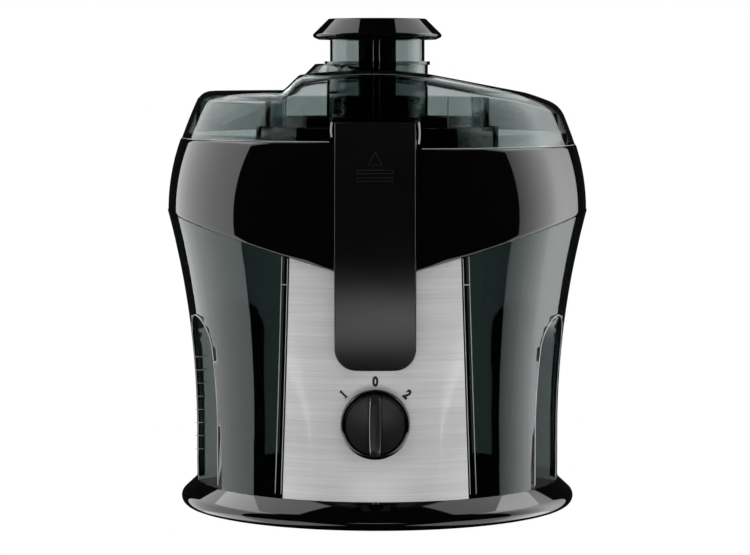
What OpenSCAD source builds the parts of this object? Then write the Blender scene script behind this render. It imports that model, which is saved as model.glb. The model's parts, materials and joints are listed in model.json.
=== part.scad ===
// Centrifugal juicer: a round-plan motor column with a juice jug on the left and a pulp
// container on the right, a bowl, a sieve basket, a lid with a feed chute, a pusher and a
// locking arm. Millimetres, +Z up, front is -Y, origin on the axis at the floor.

/* [Column and containers] */
// How much narrower the waist is than the bowl, in radius
waist_step = 17; // [15:0.2:19]
// Height where the outward flare starts
waist_z = 50; // [44:1:56]
// Radius of the concave flare
flare_r = 520; // [500:5:560]
// Half width of the column at its foot
col_half_foot = 54.5; // [52:0.5:56]
// Half width of the column under the bowl
col_half_head = 49.5; // [48:0.5:51]
// Wall of the black plastic shells
wall = 2.5; // [2:0.1:3]
// Thickness of the front and rear panels
panel_t = 1.2; // [1:0.1:1.4]
// Wall of the smoked clear plastic
clear_wall = 2.2; // [1.8:0.1:2.6]
// Gap around a container
container_gap = 0.4; // [0.3:0.1:0.6]
// Half width of the rib between a container's two finger recesses
spine_half = 20; // [17:0.5:22]
// Width of a finger recess
recess_w = 38; // [34:1:40]
// Height of a finger recess's arch
recess_top = 121; // [110:1:125]
// Depth of a finger recess at the waist
recess_depth = 14.4; // [12:0.2:16]

/* [Base] */
// How far the base stands out past the waist
base_flare = 9.6; // [8:0.2:12]
// Height of the base's top face
base_h = 18; // [17:0.5:20]
// Radius of the rounded lower edge
base_edge_r = 5; // [4:0.5:6]
// Height of a foot
foot_h = 2; // [1.5:0.1:3]
// Radius of a foot
foot_r = 9; // [7:0.5:10]
// Distance of the feet and the base screws from the axis
foot_circle_r = 92; // [84:1:96]

/* [Bowl] */
// Radius of the spherical bowl wall
bowl_r = 128.4; // [127.6:0.2:129.4]
// Height of the bowl's widest line
bowl_eq_z = 183; // [181:0.5:185]
// Height of the seam on the juice side
seam_left_z = 227; // [226:0.5:229]
// Height of the seam on the pulp side
seam_right_z = 223; // [221:0.5:224]
// Height of the bowl's lower edge on the centre line
edge_z0 = 146.5; // [146:0.5:150]
// Rise of the lower edge for each millimetre sideways
edge_slope = 0.29; // [0.24:0.01:0.3]
// Half width of the flat in the middle of the lower edge
edge_flat = 10; // [6:1:14]
// Height of the bowl floor's underside, where it sits on the deck
deck_z = 184; // [182:0.5:185]
// Thickness of the bowl floor and of the deck
floor_t = 3; // [2.5:0.1:3.5]
// Inner radius of the collar around the drive
collar_r = 22; // [20:0.5:24]
// Height of the collar over the deck
collar_h = 14; // [12:0.5:16]
// Inner radius of the juice chamber's wall
juice_wall_r = 72; // [70:0.5:74]
// Distance of the juice spout from the axis
spout_x = 62; // [60:0.5:62.5]
// Inner radius of the juice spout
spout_r = 7; // [6:0.5:8]

/* [Basket] */
// Height of the grater's underside
grater_z = 206; // [204:0.5:208]
// Radius of the grater
grater_r = 40; // [38:0.5:42]
// Number of grater teeth in the outer row
tooth_count = 20; // [12:1:26]
// Top radius of the sieve
sieve_top_r = 62; // [60:0.5:63]
// Thickness of the sieve sheet
sieve_t = 0.8; // [0.6:0.1:1.2]
// Height of the basket's rim
basket_top_z = 240; // [236:0.5:242]
// Width across the corners of the hexagonal drive
drive_d = 22; // [18:0.5:24]
// Clearance of the hub on the drive
drive_gap = 0.3; // [0.2:0.05:0.5]

/* [Lid] */
// Height of the lid's flat top on the juice side
lid_top_z = 256; // [254:0.5:258]
// Step from the bowl's wall in to the lid's wall at the seam
lid_step = 0.6; // [0.3:0.1:1.2]
// Radius of the lid wall's convex arc
lid_arc_r = 300; // [280:5:340]
// Height of the sloping crest at the middle
crest_z = 268.5; // [266:0.5:270]
// Radius of the sloping crest's arc
crest_r = 320; // [300:5:340]
// Radius of the chute's hump at its foot
hump_r = 58; // [56:0.5:60]
// Height of the chute's rim
chute_z = 272.5; // [272:0.5:276]
// Height of the chute's lower end
chute_foot_z = 213; // [212:0.5:216]
// Wall of the chute
chute_wall = 1.7; // [1.4:0.1:2]

/* [Pusher] */
// Radius of the pusher's tube
pusher_r = 29; // [28:0.2:30]
// Running gap between the pusher and the chute
pusher_gap = 0.35; // [0.3:0.05:0.6]
// Height of the pusher's top
pusher_top_z = 300; // [299:0.5:304]
// Radius of the pusher's cap
cap_r = 39.5; // [38:0.5:41]
// Height of the pusher's cap
cap_h = 13; // [12:0.5:14]

/* [Locking arm] */
// Width of the arm
arm_w = 46; // [44:0.5:48]
// Height of the arm's lower end
arm_z0 = 95.7; // [95:0.1:97]
// Height of the arm's upper end
arm_z1 = 238.3; // [236:0.1:240]
// Radius of the arm's outer curve
arm_r = 210.3; // [209:0.1:212]
// Depth of the arm's side walls
arm_depth = 7; // [6:0.1:7.4]
// Thickness of the arm's skin
arm_skin = 2.5; // [2:0.1:2.6]
// Radius of the arm's lower corners
arm_corner_r = 12.5; // [10:0.5:14]
// Radius of the arm's hinge pin
pin_r = 1.5; // [1.2:0.05:1.6]
// Gap beside the arm in its channel
channel_gap = 0.6; // [0.4:0.1:0.9]

/* [Knob] */
// Diameter of the speed knob
knob_d = 40.3; // [38:0.1:42]
// Height of the knob's centre
knob_z = 64; // [60:0.5:68]
// Depth of the knob
knob_depth = 13; // [11:0.5:14]
// Radius of the switch shaft
switch_shaft_r = 3; // [2.5:0.1:3.5]

/* [Motor] */
// Radius of the motor shaft
shaft_r = 4; // [3.5:0.1:4.5]
// Outer radius of the ball bearings
bearing_r = 11; // [10:0.5:12]
// Width of the ball bearings
bearing_w = 7; // [6:0.5:8]
// Radius of the armature
armature_r = 25; // [22:0.5:26]
// Air gap between the armature and the stator
air_gap = 0.5; // [0.4:0.1:0.8]
// Height of the lamination stack
stack_h = 40; // [34:1:44]
// Height of the middle of the lamination stack
stack_z = 115; // [112:1:117]
// Half width of the stator
stator_half = 42; // [40:0.5:44]
// Radius of the cooling fan
fan_r = 34; // [30:1:38]
// Number of fan blades
blade_count = 9; // [7:1:12]

/* [Hidden] */
$fn = 96;
eps = 1;              // how far a cutting shape runs past the face it cuts
far = 160;            // half size of a shape that reaches past the whole body
run_gap = 0.05;       // running clearance of a shaft in a bore
fit_gap = 0.2;        // clearance between a panel and the column behind it
col_head_z = 159;     // where col_half_head is measured
crest_x = -2.5;       // middle of the sloping crest
arm_proud = 3.3;      // how far the arm stands out past the bowl

waist_r = bowl_r - waist_step;
base_r = waist_r + base_flare;
recess_r = waist_r - recess_depth;

// Curves of the body
function flare_x(z, o = 0) = z < waist_z ? waist_r - o
    : waist_r + flare_r - sqrt(pow(flare_r + o, 2) - pow(z - waist_z, 2));
function half_w(z) = col_half_foot
    + (col_half_head - col_half_foot) * (z - base_h) / (col_head_z - base_h);
function edge_z(x) = edge_z0 + edge_slope * max(abs(x), edge_flat);
function bowl_x(z, o = 0) = sqrt(pow(bowl_r - o, 2) - pow(z - bowl_eq_z, 2));

// Arm and its channel
arm_cy = arm_r - bowl_r - arm_proud;
arm_cz = 172;
arm_in_r = arm_r - arm_depth;
channel_half = arm_w / 2 + channel_gap;
function arm_y(z, r) = arm_cy - sqrt(r * r - pow(z - arm_cz, 2));
channel_y = arm_y(arm_z1, arm_in_r) + fit_gap + 0.2;
pivot_z = arm_z0 + 5.8;
pivot_y = arm_y(pivot_z, arm_r) + 5.9;
slot_floor_y = pivot_y + 4.5;
slot_z0 = arm_z0 - 0.8;

// Motor heights, from the fan up
shaft_z0 = stack_z - stack_h / 2 - 51;
lower_plate_z = stack_z - stack_h / 2 - 27;
upper_plate_z = stack_z + stack_h / 2 + 17;
plate_t = 4;
coil_h = 10;
drive_z0 = deck_z + floor_t;
drive_z1 = drive_z0 + collar_h;
hub_top_z = grater_z;
mount_y = 56;
bolt_x = stator_half - 8;
switch_back_y = 27.4 - waist_r;
switch_neck_r = 5.4;
gland_r = 6;
gland_z = 38;
interlock_z = 122;
interlock_h = 14;
boss_x = arm_w / 2 - 8;
boss_w = 4;
pin_half = boss_x + boss_w / 2;

// A flat outline in the X-Z plane, drawn through the body along Y
module along_y() {
    translate([0, far, 0]) rotate([90, 0, 0]) linear_extrude(2 * far) children();
}

// A flat outline in the Y-Z plane, drawn along X over width w
module along_x(w) {
    translate([-w / 2, 0, 0]) rotate([90, 0, 90]) linear_extrude(w) children();
}

// Box from its low corner to its high corner
module box(a, b) {
    translate(a) cube(b - a);
}

// The column's round outline, o inside the outer surface
module flare_body(o, z0, z1) {
    rotate_extrude(convexity = 4) intersection() {
        translate([0, z0]) square([far, z1 - z0]);
        difference() {
            translate([0, z0 - eps]) square([far, z1 - z0 + 2 * eps]);
            translate([waist_r + flare_r, waist_z]) circle(r = flare_r + o, $fn = 720);
            translate([waist_r - o, -eps]) square([far, waist_z + eps]);
        }
    }
}

// The slab between the two containers, g inside its side faces
module column_slab(g, z0, z1) {
    along_y() polygon([
        [-half_w(z0) + g, z0], [half_w(z0) - g, z0],
        [half_w(z1) - g, z1], [-half_w(z1) + g, z1]
    ]);
}

// All below the bowl's edge, lowered by g
module below_edge(g) {
    along_y() polygon([
        [-far, -eps], [far, -eps], [far, edge_z(far) - g],
        [edge_flat, edge_z(0) - g], [-edge_flat, edge_z(0) - g], [-far, edge_z(far) - g]
    ]);
}

// A vertical tube
module tube(ro, ri, z0, z1) {
    translate([0, 0, z0]) difference() {
        cylinder(r = ro, h = z1 - z0);
        translate([0, 0, -eps]) cylinder(r = ri, h = z1 - z0 + 2 * eps);
    }
}

// A cylinder along -Y from y0 to y1
module rod_y(r, y0, y1) {
    translate([0, y1, 0]) rotate([90, 0, 0]) cylinder(r = r, h = y1 - y0);
}

// Four places around the axis
module at_corners(r) {
    for (a = [45:90:315]) rotate([0, 0, a]) translate([r, 0, 0]) children();
}

// ---- Base ----

module base_profile(o) {
    edge_x = base_r - base_edge_r;
    edge_y = foot_h + base_edge_r;
    translate([edge_x, edge_y]) circle(r = base_edge_r - o);
    polygon([
        [0, foot_h + o], [edge_x, foot_h + o], [base_r - o - 0.3, edge_y + 1],
        [waist_r - o, base_h - o], [0, base_h - o]
    ]);
}

module base_ring() color([0.02, 0.02, 0.02]) difference() {
    union() {
        difference() {
            rotate_extrude() base_profile(0);
            rotate_extrude() intersection() {
                base_profile(wall);
                square([far, far]);
            }
            translate([0, 0, -eps]) cylinder(r = base_r - 10, h = base_h / 2);
        }
        at_corners(foot_circle_r) translate([0, 14, foot_h + wall])
            cylinder(r = 5, h = base_h - foot_h - 1.5 * wall);
    }
    translate([0, 0, -eps]) cylinder(r = 42, h = base_h + 2 * eps);
    at_corners(foot_circle_r) translate([0, 14, 0]) cylinder(r = 1.6, h = base_h - wall);
}

module base_plate() color([0.08, 0.08, 0.08]) difference() {
    translate([0, 0, foot_h]) cylinder(r = base_r - 10 - fit_gap, h = wall);
    at_corners(foot_circle_r) {
        translate([0, 14, 0]) cylinder(r = 1.9, h = base_h);
        translate([0, -14, foot_h - eps]) cylinder(r = foot_r - 2, h = 1 + eps);
    }
    for (i = [-4:4]) box([i * 8 - 1.5, -30, 0], [i * 8 + 1.5, 30, base_h]);
}

module feet() color([0.1, 0.1, 0.1]) at_corners(foot_circle_r) translate([0, -14, 0]) {
    cylinder(r = foot_r, h = foot_h);
    translate([0, 0, foot_h / 2]) cylinder(r = foot_r - 2, h = foot_h / 2 + 1);
}

module base_screws() color([0.7, 0.7, 0.72]) at_corners(foot_circle_r) translate([0, 14, 0]) {
    translate([0, 0, foot_h - 1.2]) cylinder(r = 3.4, h = 1.2);
    translate([0, 0, foot_h - 0.5]) cylinder(r = 1.5, h = base_h - foot_h - 3.5);
}

// ---- Column ----

module arm_slot(grow) {
    along_x(2 * (channel_half + grow)) polygon([
        [-far, slot_z0 - grow], [slot_floor_y + grow, slot_z0 - grow],
        [slot_floor_y + grow, deck_z + eps], [-far, deck_z + eps]
    ]);
}

module column_solid(o) {
    step_z = edge_z0 - 2;
    intersection() {
        flare_body(panel_t + fit_gap + o, base_h + (o > 0 ? wall : 0), step_z - o);
        column_slab(container_gap + o, base_h, deck_z);
    }
    intersection() {
        translate([0, 0, base_h + wall]) cylinder(
            r = bowl_x(edge_z0, wall) - 4.5 - o, h = deck_z - base_h - wall - (o > 0 ? floor_t : 0));
        translate([0, 0, step_z - 2 * wall - (o > 0 ? 60 : 0)]) cylinder(r = far, h = far);
        column_slab(container_gap + o, base_h, deck_z);
    }
}

module motor_housing() color([0.03, 0.03, 0.03]) difference() {
    union() {
        difference() {
            column_solid(0);
            column_solid(wall);
            translate([0, 0, edge_z0 - 2 - 3 * wall]) cylinder(r = 40, h = 20);
            arm_slot(0);
        }
        // back wall of the arm's slot
        intersection() {
            column_solid(0);
            difference() {
                arm_slot(wall);
                arm_slot(0);
            }
        }
        // ear that carries the arm's pin
        ear_half = 8;
        translate([0, pivot_y, pivot_z]) rotate([0, 90, 0]) translate([0, 0, -ear_half])
            cylinder(r = pin_r + 1.3, h = 2 * ear_half);
        box([-ear_half, pivot_y, pivot_z - pin_r - 1], [ear_half, slot_floor_y, pivot_z + pin_r + 1]);
        // pillars under the deck for the motor mounts
        for (s = [-1, 1]) translate([0, s * mount_y, upper_plate_z + plate_t + 4])
            cylinder(r = 6, h = deck_z - floor_t - upper_plate_z - plate_t - 3);
    }
    translate([0, pivot_y, pivot_z]) rotate([0, 90, 0]) translate([0, 0, -far])
        cylinder(r = pin_r, h = 2 * far);
    // the bowl's channel plate comes down in front of the slot's side walls
    box([-channel_half - 3 * wall, -far, edge_z0 - 2],
        [channel_half + 3 * wall, channel_y + wall + 1, deck_z + eps]);
    translate([0, 0, deck_z - floor_t - eps]) cylinder(r = 12, h = floor_t + 2 * eps);
    translate([0, 0, knob_z]) rod_y(switch_neck_r + fit_gap, -far, -60);
    translate([0, 0, gland_z]) rod_y(gland_r, 60, far);
    for (i = [-3:3]) box([i * 9 - 2, -34, base_h - eps], [i * 9 + 2, 34, base_h + wall + eps]);
    for (s = [-1, 1]) translate([0, s * mount_y, upper_plate_z]) cylinder(r = 1.5, h = 18);
}

module panel_skin(front) {
    side = front ? -1 : 1;
    intersection() {
        difference() {
            flare_body(0, base_h, deck_z);
            flare_body(panel_t, base_h - eps, deck_z + eps);
        }
        column_slab(0, base_h, deck_z);
        below_edge(container_gap);
        box([-far, side < 0 ? -far : 0, 0], [far, side < 0 ? 0 : far, far * 2]);
    }
}

module front_panel() color([0.78, 0.78, 0.77]) difference() {
    panel_skin(true);
    // cut-out for the arm, with rounded lower corners
    along_y() intersection() {
        translate([-channel_half, slot_z0]) square([2 * channel_half, far]);
        union() {
            translate([-channel_half, slot_z0 + arm_corner_r]) square([2 * channel_half, far]);
            for (s = [-1, 1]) translate([s * (channel_half - arm_corner_r), slot_z0 + arm_corner_r])
                circle(r = arm_corner_r);
            translate([-channel_half + arm_corner_r, slot_z0])
                square([2 * (channel_half - arm_corner_r), arm_corner_r]);
        }
    }
    translate([0, 0, knob_z]) rod_y(switch_neck_r + fit_gap, -far, 0);
}

module rear_panel() color([0.05, 0.05, 0.05]) difference() {
    panel_skin(false);
    translate([0, 0, gland_z]) rod_y(gland_r, 0, far);
    for (i = [0:7]) translate([0, 0, 70 + i * 7]) along_y() square([56, 2.4], center = true);
}

module arm_hinge_pin() color([0.75, 0.75, 0.77])
    translate([-pin_half, pivot_y, pivot_z]) rotate([0, 90, 0]) cylinder(r = pin_r, h = 2 * pin_half);

// ---- Motor ----

module stator() color([0.55, 0.56, 0.58]) translate([0, 0, stack_z - stack_h / 2]) difference() {
    intersection() {
        translate([-stator_half, -stator_half, 0]) cube([2 * stator_half, 2 * stator_half, stack_h]);
        cylinder(r = stator_half * 1.18, h = stack_h);
    }
    translate([0, 0, -eps]) cylinder(r = armature_r + air_gap, h = stack_h + 2 * eps);
    for (s = [-1, 1]) translate([s * bolt_x, 0, -eps]) cylinder(r = 2, h = stack_h + 2 * eps);
}

module field_coils() color([0.72, 0.36, 0.14])
    for (s = [-1, 1], z = [stack_z - stack_h / 2 - coil_h, stack_z + stack_h / 2])
        translate([0, 0, z]) rotate([0, 0, s * 90 - 55]) rotate_extrude(angle = 110)
            translate([armature_r + 3, 0]) square([11, coil_h]);

module stator_bolts() color([0.7, 0.7, 0.72]) for (s = [-1, 1]) translate([s * bolt_x, 0, 0]) {
    z0 = lower_plate_z - 3;
    translate([0, 0, z0]) cylinder(r = 3.6, h = 3);
    translate([0, 0, z0]) cylinder(r = 2, h = upper_plate_z + plate_t + 2 - z0);
    translate([0, 0, upper_plate_z + plate_t]) cylinder(r = 3.6, h = 3);
}

// Bearing plate: a cup below or above a plate
module bracket(z, cup_up, arm_len, arm_half) difference() {
    cup_z = cup_up ? z : z - bearing_w;
    union() {
        translate([0, 0, cup_z]) cylinder(r = bearing_r + 3, h = bearing_w + plate_t);
        box([-stator_half, -11, z], [stator_half, 11, z + plate_t]);
        box([-arm_half, -arm_len, z], [arm_half, arm_len, z + plate_t]);
        for (s = [-1, 1]) translate([s * bolt_x, 0, cup_up ? stack_z + stack_h / 2 : z])
            cylinder(r = 4, h = cup_up ? z - stack_z - stack_h / 2 + eps : stack_z - stack_h / 2 - z);
    }
    translate([0, 0, z - far / 2]) cylinder(r = shaft_r + 2, h = far);
    translate([0, 0, cup_up ? z + plate_t : z - bearing_w - eps]) cylinder(r = bearing_r, h = bearing_w + eps);
    for (s = [-1, 1]) translate([s * bolt_x, 0, 0]) cylinder(r = 2, h = 2 * far);
    for (s = [-1, 1]) translate([0, s * mount_y, 0]) cylinder(r = 3, h = 2 * far);
}

module upper_bracket() color([0.72, 0.73, 0.75]) bracket(upper_plate_z, true, mount_y + 8, 9);

module lower_bracket() color([0.72, 0.73, 0.75]) bracket(lower_plate_z, false, 34, 12);

module bearing(z) color([0.8, 0.8, 0.82])
    tube(bearing_r, shaft_r + run_gap, z, z + bearing_w);

module upper_bearing() bearing(upper_plate_z + plate_t);

module lower_bearing() bearing(lower_plate_z - bearing_w);

brush_z = lower_plate_z + plate_t;
commutator_r = armature_r / 2;
brush_y = commutator_r + 0.2;

module brush_holders() color([0.75, 0.6, 0.3]) for (s = [-1, 1]) difference() {
    box([-6, min(s * (brush_y + 2), s * (brush_y + 20)), brush_z],
        [6, max(s * (brush_y + 2), s * (brush_y + 20)), brush_z + 12]);
    box([-3.6, -far, brush_z + 3], [3.6, far, brush_z + 11]);
}

module carbon_brushes() color([0.15, 0.15, 0.15]) for (s = [-1, 1])
    box([-3.5, min(s * brush_y, s * (brush_y + 16)), brush_z + 3],
        [3.5, max(s * brush_y, s * (brush_y + 16)), brush_z + 10.9]);

module motor_mounts() color([0.1, 0.1, 0.1]) for (s = [-1, 1]) translate([0, s * mount_y, 0]) {
    tube(7, 1.6, upper_plate_z + plate_t, upper_plate_z + plate_t + 4);
    tube(7, 1.6, upper_plate_z - 2, upper_plate_z);
    tube(3, 1.6, upper_plate_z, upper_plate_z + plate_t);
}

module motor_screws() color([0.7, 0.7, 0.72]) for (s = [-1, 1])
    translate([0, s * mount_y, upper_plate_z - 5]) {
    cylinder(r = 5, h = 3);
    cylinder(r = 1.5, h = 20);
}

module rotary_switch() color([0.85, 0.84, 0.8]) difference() {
    union() {
        box([-14, -waist_r + panel_t + fit_gap + wall + 2.6, knob_z - 13], [14, switch_back_y, knob_z + 13]);
        translate([0, 0, knob_z]) rod_y(switch_neck_r, -waist_r + panel_t - 0.8, switch_back_y - 5);
        for (s = [-1, 1]) box([s * 9 - 1.5, switch_back_y, knob_z - 8], [s * 9 + 1.5, switch_back_y + 7, knob_z - 7]);
    }
    translate([0, 0, knob_z]) rod_y(switch_shaft_r + run_gap, -far, switch_back_y - 4);
}

module interlock_switch() color([0.1, 0.1, 0.12]) {
    back_y = slot_floor_y + wall;
    box([-10, back_y, interlock_z], [10, back_y + 7, interlock_z + interlock_h]);
    for (x = [-7, 0, 7]) box([x - 1, back_y + 7, interlock_z + 2], [x + 1, back_y + 13, interlock_z + 3]);
}

module capacitor() color([0.9, 0.75, 0.2])
    box([-9, 70, base_h + wall], [9, 84, base_h + wall + 26]);

module shaft_seal() color([0.12, 0.12, 0.12])
    tube(12, shaft_r + 0.4, deck_z - floor_t, deck_z);

module cord_gland() color([0.06, 0.06, 0.06]) difference() {
    translate([0, 0, gland_z]) union() {
        rod_y(gland_r - run_gap, waist_r - 12, waist_r + eps);
        rod_y(10, flare_x(gland_z), flare_x(gland_z) + 6);
        rod_y(8, flare_x(gland_z), bowl_r + arm_proud);
    }
    translate([0, 0, gland_z]) rod_y(3.6, 0, far);
}

// ---- Rotor ----

module motor_shaft() color([0.78, 0.78, 0.8])
    translate([0, 0, shaft_z0]) cylinder(r = shaft_r, h = drive_z1 - 2 - shaft_z0);

module armature() color([0.5, 0.35, 0.2]) {
    tube(armature_r, shaft_r, stack_z - stack_h / 2, stack_z + stack_h / 2);
    tube(armature_r - 4, shaft_r, stack_z - stack_h / 2 - 8, stack_z - stack_h / 2);
    tube(armature_r - 4, shaft_r, stack_z + stack_h / 2, stack_z + stack_h / 2 + 8);
}

module commutator() color([0.75, 0.42, 0.2])
    tube(commutator_r, shaft_r, brush_z + 1, brush_z + 13);

module cooling_fan() color([0.9, 0.9, 0.88]) difference() {
    z0 = shaft_z0 + 1;
    union() {
        translate([0, 0, z0]) cylinder(r = fan_r, h = 1.6);
        translate([0, 0, z0]) cylinder(r = 8, h = 12);
        for (i = [0:blade_count - 1]) rotate([0, 0, i * 360 / blade_count])
            translate([7, -0.8, z0]) cube([fan_r - 8, 1.6, 12]);
    }
    translate([0, 0, z0 - eps]) cylinder(r = shaft_r, h = 20);
}

module drive_coupling() color([0.12, 0.12, 0.12]) difference() {
    union() {
        translate([0, 0, deck_z + 1]) cylinder(d = drive_d, h = floor_t + 1);
        translate([0, 0, deck_z + 1]) cylinder(d = drive_d, h = drive_z1 - deck_z, $fn = 6);
    }
    translate([0, 0, deck_z]) cylinder(r = shaft_r, h = drive_z1 - 2 - deck_z);
}

// ---- Bowl ----

module bowl_ball(o) {
    rotate_extrude() intersection() {
        translate([0, bowl_eq_z]) circle(r = bowl_r - o, $fn = 360);
        translate([0, edge_z0 - 10]) square([far, seam_left_z - edge_z0 + 10]);
    }
}

// the block around the arm's channel, in the bowl or in the lid
module channel_block(z0, z1, grow = 0) {
    box([-channel_half - wall - grow, -far, z0], [channel_half + wall + grow, channel_y + wall + grow, z1]);
}

module channel_cut(z0, z1) {
    box([-channel_half, -far, z0], [channel_half, channel_y, z1]);
}

pulp_out_r = bowl_r - 12;
pulp_out_half = 48;
bowl_floor_r = -channel_y - wall - 2;
spout_z0 = edge_z(spout_x + 10) + 5;

// what the bowl keeps of a solid: below its seams, outside the arm's channel and the pulp opening
module bowl_trim() {
    difference() {
        children();
        box([0, -far, seam_right_z], [far, far, seam_left_z + eps]);
        channel_cut(edge_z0 - 10, seam_left_z + eps);
        difference() {
            intersection() {
                translate([0, 0, deck_z - eps]) cylinder(r = pulp_out_r, h = floor_t + 2 * eps);
                box([juice_wall_r, -pulp_out_half, deck_z - eps],
                    [far, pulp_out_half, deck_z + floor_t + eps]);
            }
            cylinder(r = juice_wall_r + wall, h = 2 * far);
        }
    }
}

// outer ring, with the ledge that carries the floor
module juice_bowl() color([0.02, 0.02, 0.02]) bowl_trim() difference() {
    bowl_ball(0);
    difference() {
        bowl_ball(wall);
        tube(far, bowl_floor_r, deck_z, deck_z + floor_t);
    }
    below_edge(0);
    channel_block(edge_z0 - 10, seam_left_z + eps);
}

// the wall behind and beside the arm's channel
module bowl_channel() color([0.02, 0.02, 0.02]) bowl_trim() intersection() {
    difference() {
        bowl_ball(0);
        below_edge(0);
    }
    channel_block(edge_z0 - 10, seam_left_z + eps);
}

module bowl_floor() color([0.02, 0.02, 0.02]) bowl_trim() difference() {
    union() {
        translate([0, 0, deck_z]) cylinder(r = bowl_floor_r, h = floor_t);
        tube(collar_r + wall, collar_r, deck_z, deck_z + collar_h);
        translate([-spout_x, 0, spout_z0]) cylinder(r = spout_r + 2, h = deck_z - spout_z0 + eps);
    }
    translate([0, 0, deck_z - eps]) cylinder(r = collar_r, h = floor_t + 2 * eps);
    translate([-spout_x, 0, edge_z0]) cylinder(r = spout_r, h = deck_z + floor_t - edge_z0 + eps);
}

module juice_wall() color([0.02, 0.02, 0.02])
    tube(juice_wall_r + wall, juice_wall_r, deck_z + floor_t, basket_top_z - 6);

// ---- Basket ----

hub_z0 = drive_z0 + 3.5;
sieve_foot_r = grater_r + 2;
sieve_z0 = grater_z - 3;
sieve_z1 = basket_top_z - 2;

module basket_hub() color([0.1, 0.1, 0.1]) difference() {
    union() {
        translate([0, 0, hub_z0]) cylinder(r = collar_r - 3, h = hub_top_z - hub_z0);
        translate([0, 0, sieve_z0]) cylinder(r = sieve_foot_r, h = hub_top_z - sieve_z0);
    }
    translate([0, 0, hub_z0 - eps])
        cylinder(d = drive_d + 2 * drive_gap, h = drive_z1 + 1 + drive_gap + eps - hub_z0, $fn = 6);
}

module tooth_row(r, count) {
    for (i = [0:count - 1]) rotate([0, 0, i * 360 / count]) translate([r, 0, grater_z])
        rotate([0, 0, 35]) translate([-1.2, -0.4, 0]) cube([2.4, 0.8, 3]);
}

module grater_disc() color([0.8, 0.8, 0.82]) {
    translate([0, 0, grater_z]) cylinder(r = grater_r, h = 1.5);
    for (k = [1:4]) tooth_row(grater_r * k / 4.6, round(tooth_count * k / 4));
}

module sieve_profile(r0, r1) {
    polygon([[r0 - sieve_t, sieve_z0], [r0, sieve_z0], [r1, sieve_z1], [r1 - sieve_t, sieve_z1]]);
}

module filter_mesh() color([0.75, 0.75, 0.77])
    rotate_extrude() sieve_profile(sieve_foot_r + sieve_t, sieve_top_r);

module basket_rim() color([0.03, 0.03, 0.03]) {
    tube(sieve_top_r + 3, sieve_top_r - 2, sieve_z1, basket_top_z);
    tube(sieve_top_r + 3, sieve_top_r + 0.4, sieve_z1 - 5, sieve_z1 + 0.5);
}

// ---- Lid ----

lid_arc_lean = 0.34;  // slope of the lid's wall at the seam
lid_arc_z = seam_right_z - lid_arc_r * sin(atan(lid_arc_lean));
lid_arc_x = bowl_x(seam_right_z) - lid_step - lid_arc_r * cos(atan(lid_arc_lean));
chute_in_r = pusher_r + pusher_gap;
chute_out_r = chute_in_r + chute_wall;
seat_gap = 0.6;
ledge_z = seam_left_z + 3;
lid_front_y = channel_y + wall + 16;
lip_r = bowl_x(seam_left_z, wall) - 1.4;
lid_channel_z = arm_z1 + 1;
lid_channel_y = channel_y + 1.2;

module lid_drum(o) {
    rotate_extrude() intersection() {
        translate([lid_arc_x, lid_arc_z]) circle(r = lid_arc_r - o, $fn = 720);
        translate([0, seam_right_z]) square([far, chute_z - seam_right_z + 10]);
    }
}

// the crest falls a little towards the pulp side
module crest_slope(o) {
    along_y() polygon([
        [-far, 0], [far, 0], [far, chute_z - 14 - o],
        [chute_out_r, chute_z - 5.5 - o], [-chute_out_r, chute_z - o], [-far, chute_z - o]
    ]);
}

module lid_form(o) {
    foot = seam_right_z - (o > 0 ? eps : 0);
    intersection() {
        lid_drum(o);
        union() {
            box([-far, -far, foot - eps], [0, far, lid_top_z - o]);
            along_y() intersection() {
                translate([crest_x, crest_z - crest_r]) circle(r = crest_r - o, $fn = 720);
                polygon([
                    [lid_top_z - crest_z - 46 + o, lid_top_z - 4], [-40 + o, crest_z + 2],
                    [far, crest_z + 2], [far, foot], [lid_top_z - crest_z - 46 + o, foot]
                ]);
            }
            translate([0, 0, lid_top_z - 5 - o])
                cylinder(r1 = hump_r + 5 - o, r2 = hump_r - 14 - o, h = 19);
        }
        crest_slope(o);
    }
}

// what the lid keeps of a solid: clear of the bowl's seats and of the arm
module lid_trim() {
    difference() {
        children();
        // seat on the juice side is a little higher
        difference() {
            box([-far, -far, seam_right_z - eps], [0, far, seam_left_z]);
            cylinder(r = lip_r, h = 2 * far);
        }
        // room for the bowl's own channel block, which stands higher there
        box([-channel_half - wall - seat_gap, -far, seam_right_z - 10],
            [0, channel_y + wall + seat_gap, seam_left_z]);
        box([-channel_half, -far, seam_right_z - 10], [channel_half, lid_channel_y, lid_channel_z]);
    }
}

module lid_skin() {
    difference() {
        lid_form(0);
        lid_form(clear_wall);
        translate([0, 0, seam_right_z - 2 * eps])
            cylinder(r = lid_drum_r(seam_right_z) - clear_wall, h = 3 * eps);
    }
}

module lid() color([0.42, 0.44, 0.42, 0.6]) lid_trim() difference() {
    union() {
        lid_skin();
        // lip inside the bowl, and the ledge that it hangs on
        difference() {
            tube(lip_r, lip_r - clear_wall, seam_right_z - 4, ledge_z);
            channel_block(seam_right_z - 10, seam_left_z + eps, seat_gap);
        }
        tube(lid_drum_r(ledge_z) - clear_wall / 2, lip_r - clear_wall, seam_left_z, ledge_z);
    }
    lid_front(seam_right_z - 10);
    cylinder(r = chute_out_r, h = 2 * far);
}

module lid_front(z0) {
    box([-channel_half - wall, -far, z0], [channel_half + wall, lid_front_y, chute_z]);
}

// the lid's front, which the arm holds down
module lid_channel() color([0.42, 0.44, 0.42, 0.6]) lid_trim() intersection() {
    union() {
        lid_skin();
        intersection() {
            lid_form(0);
            channel_block(seam_right_z - eps, lid_channel_z + clear_wall, lid_channel_y - channel_y);
        }
    }
    lid_front(seam_right_z - eps);
}

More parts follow.
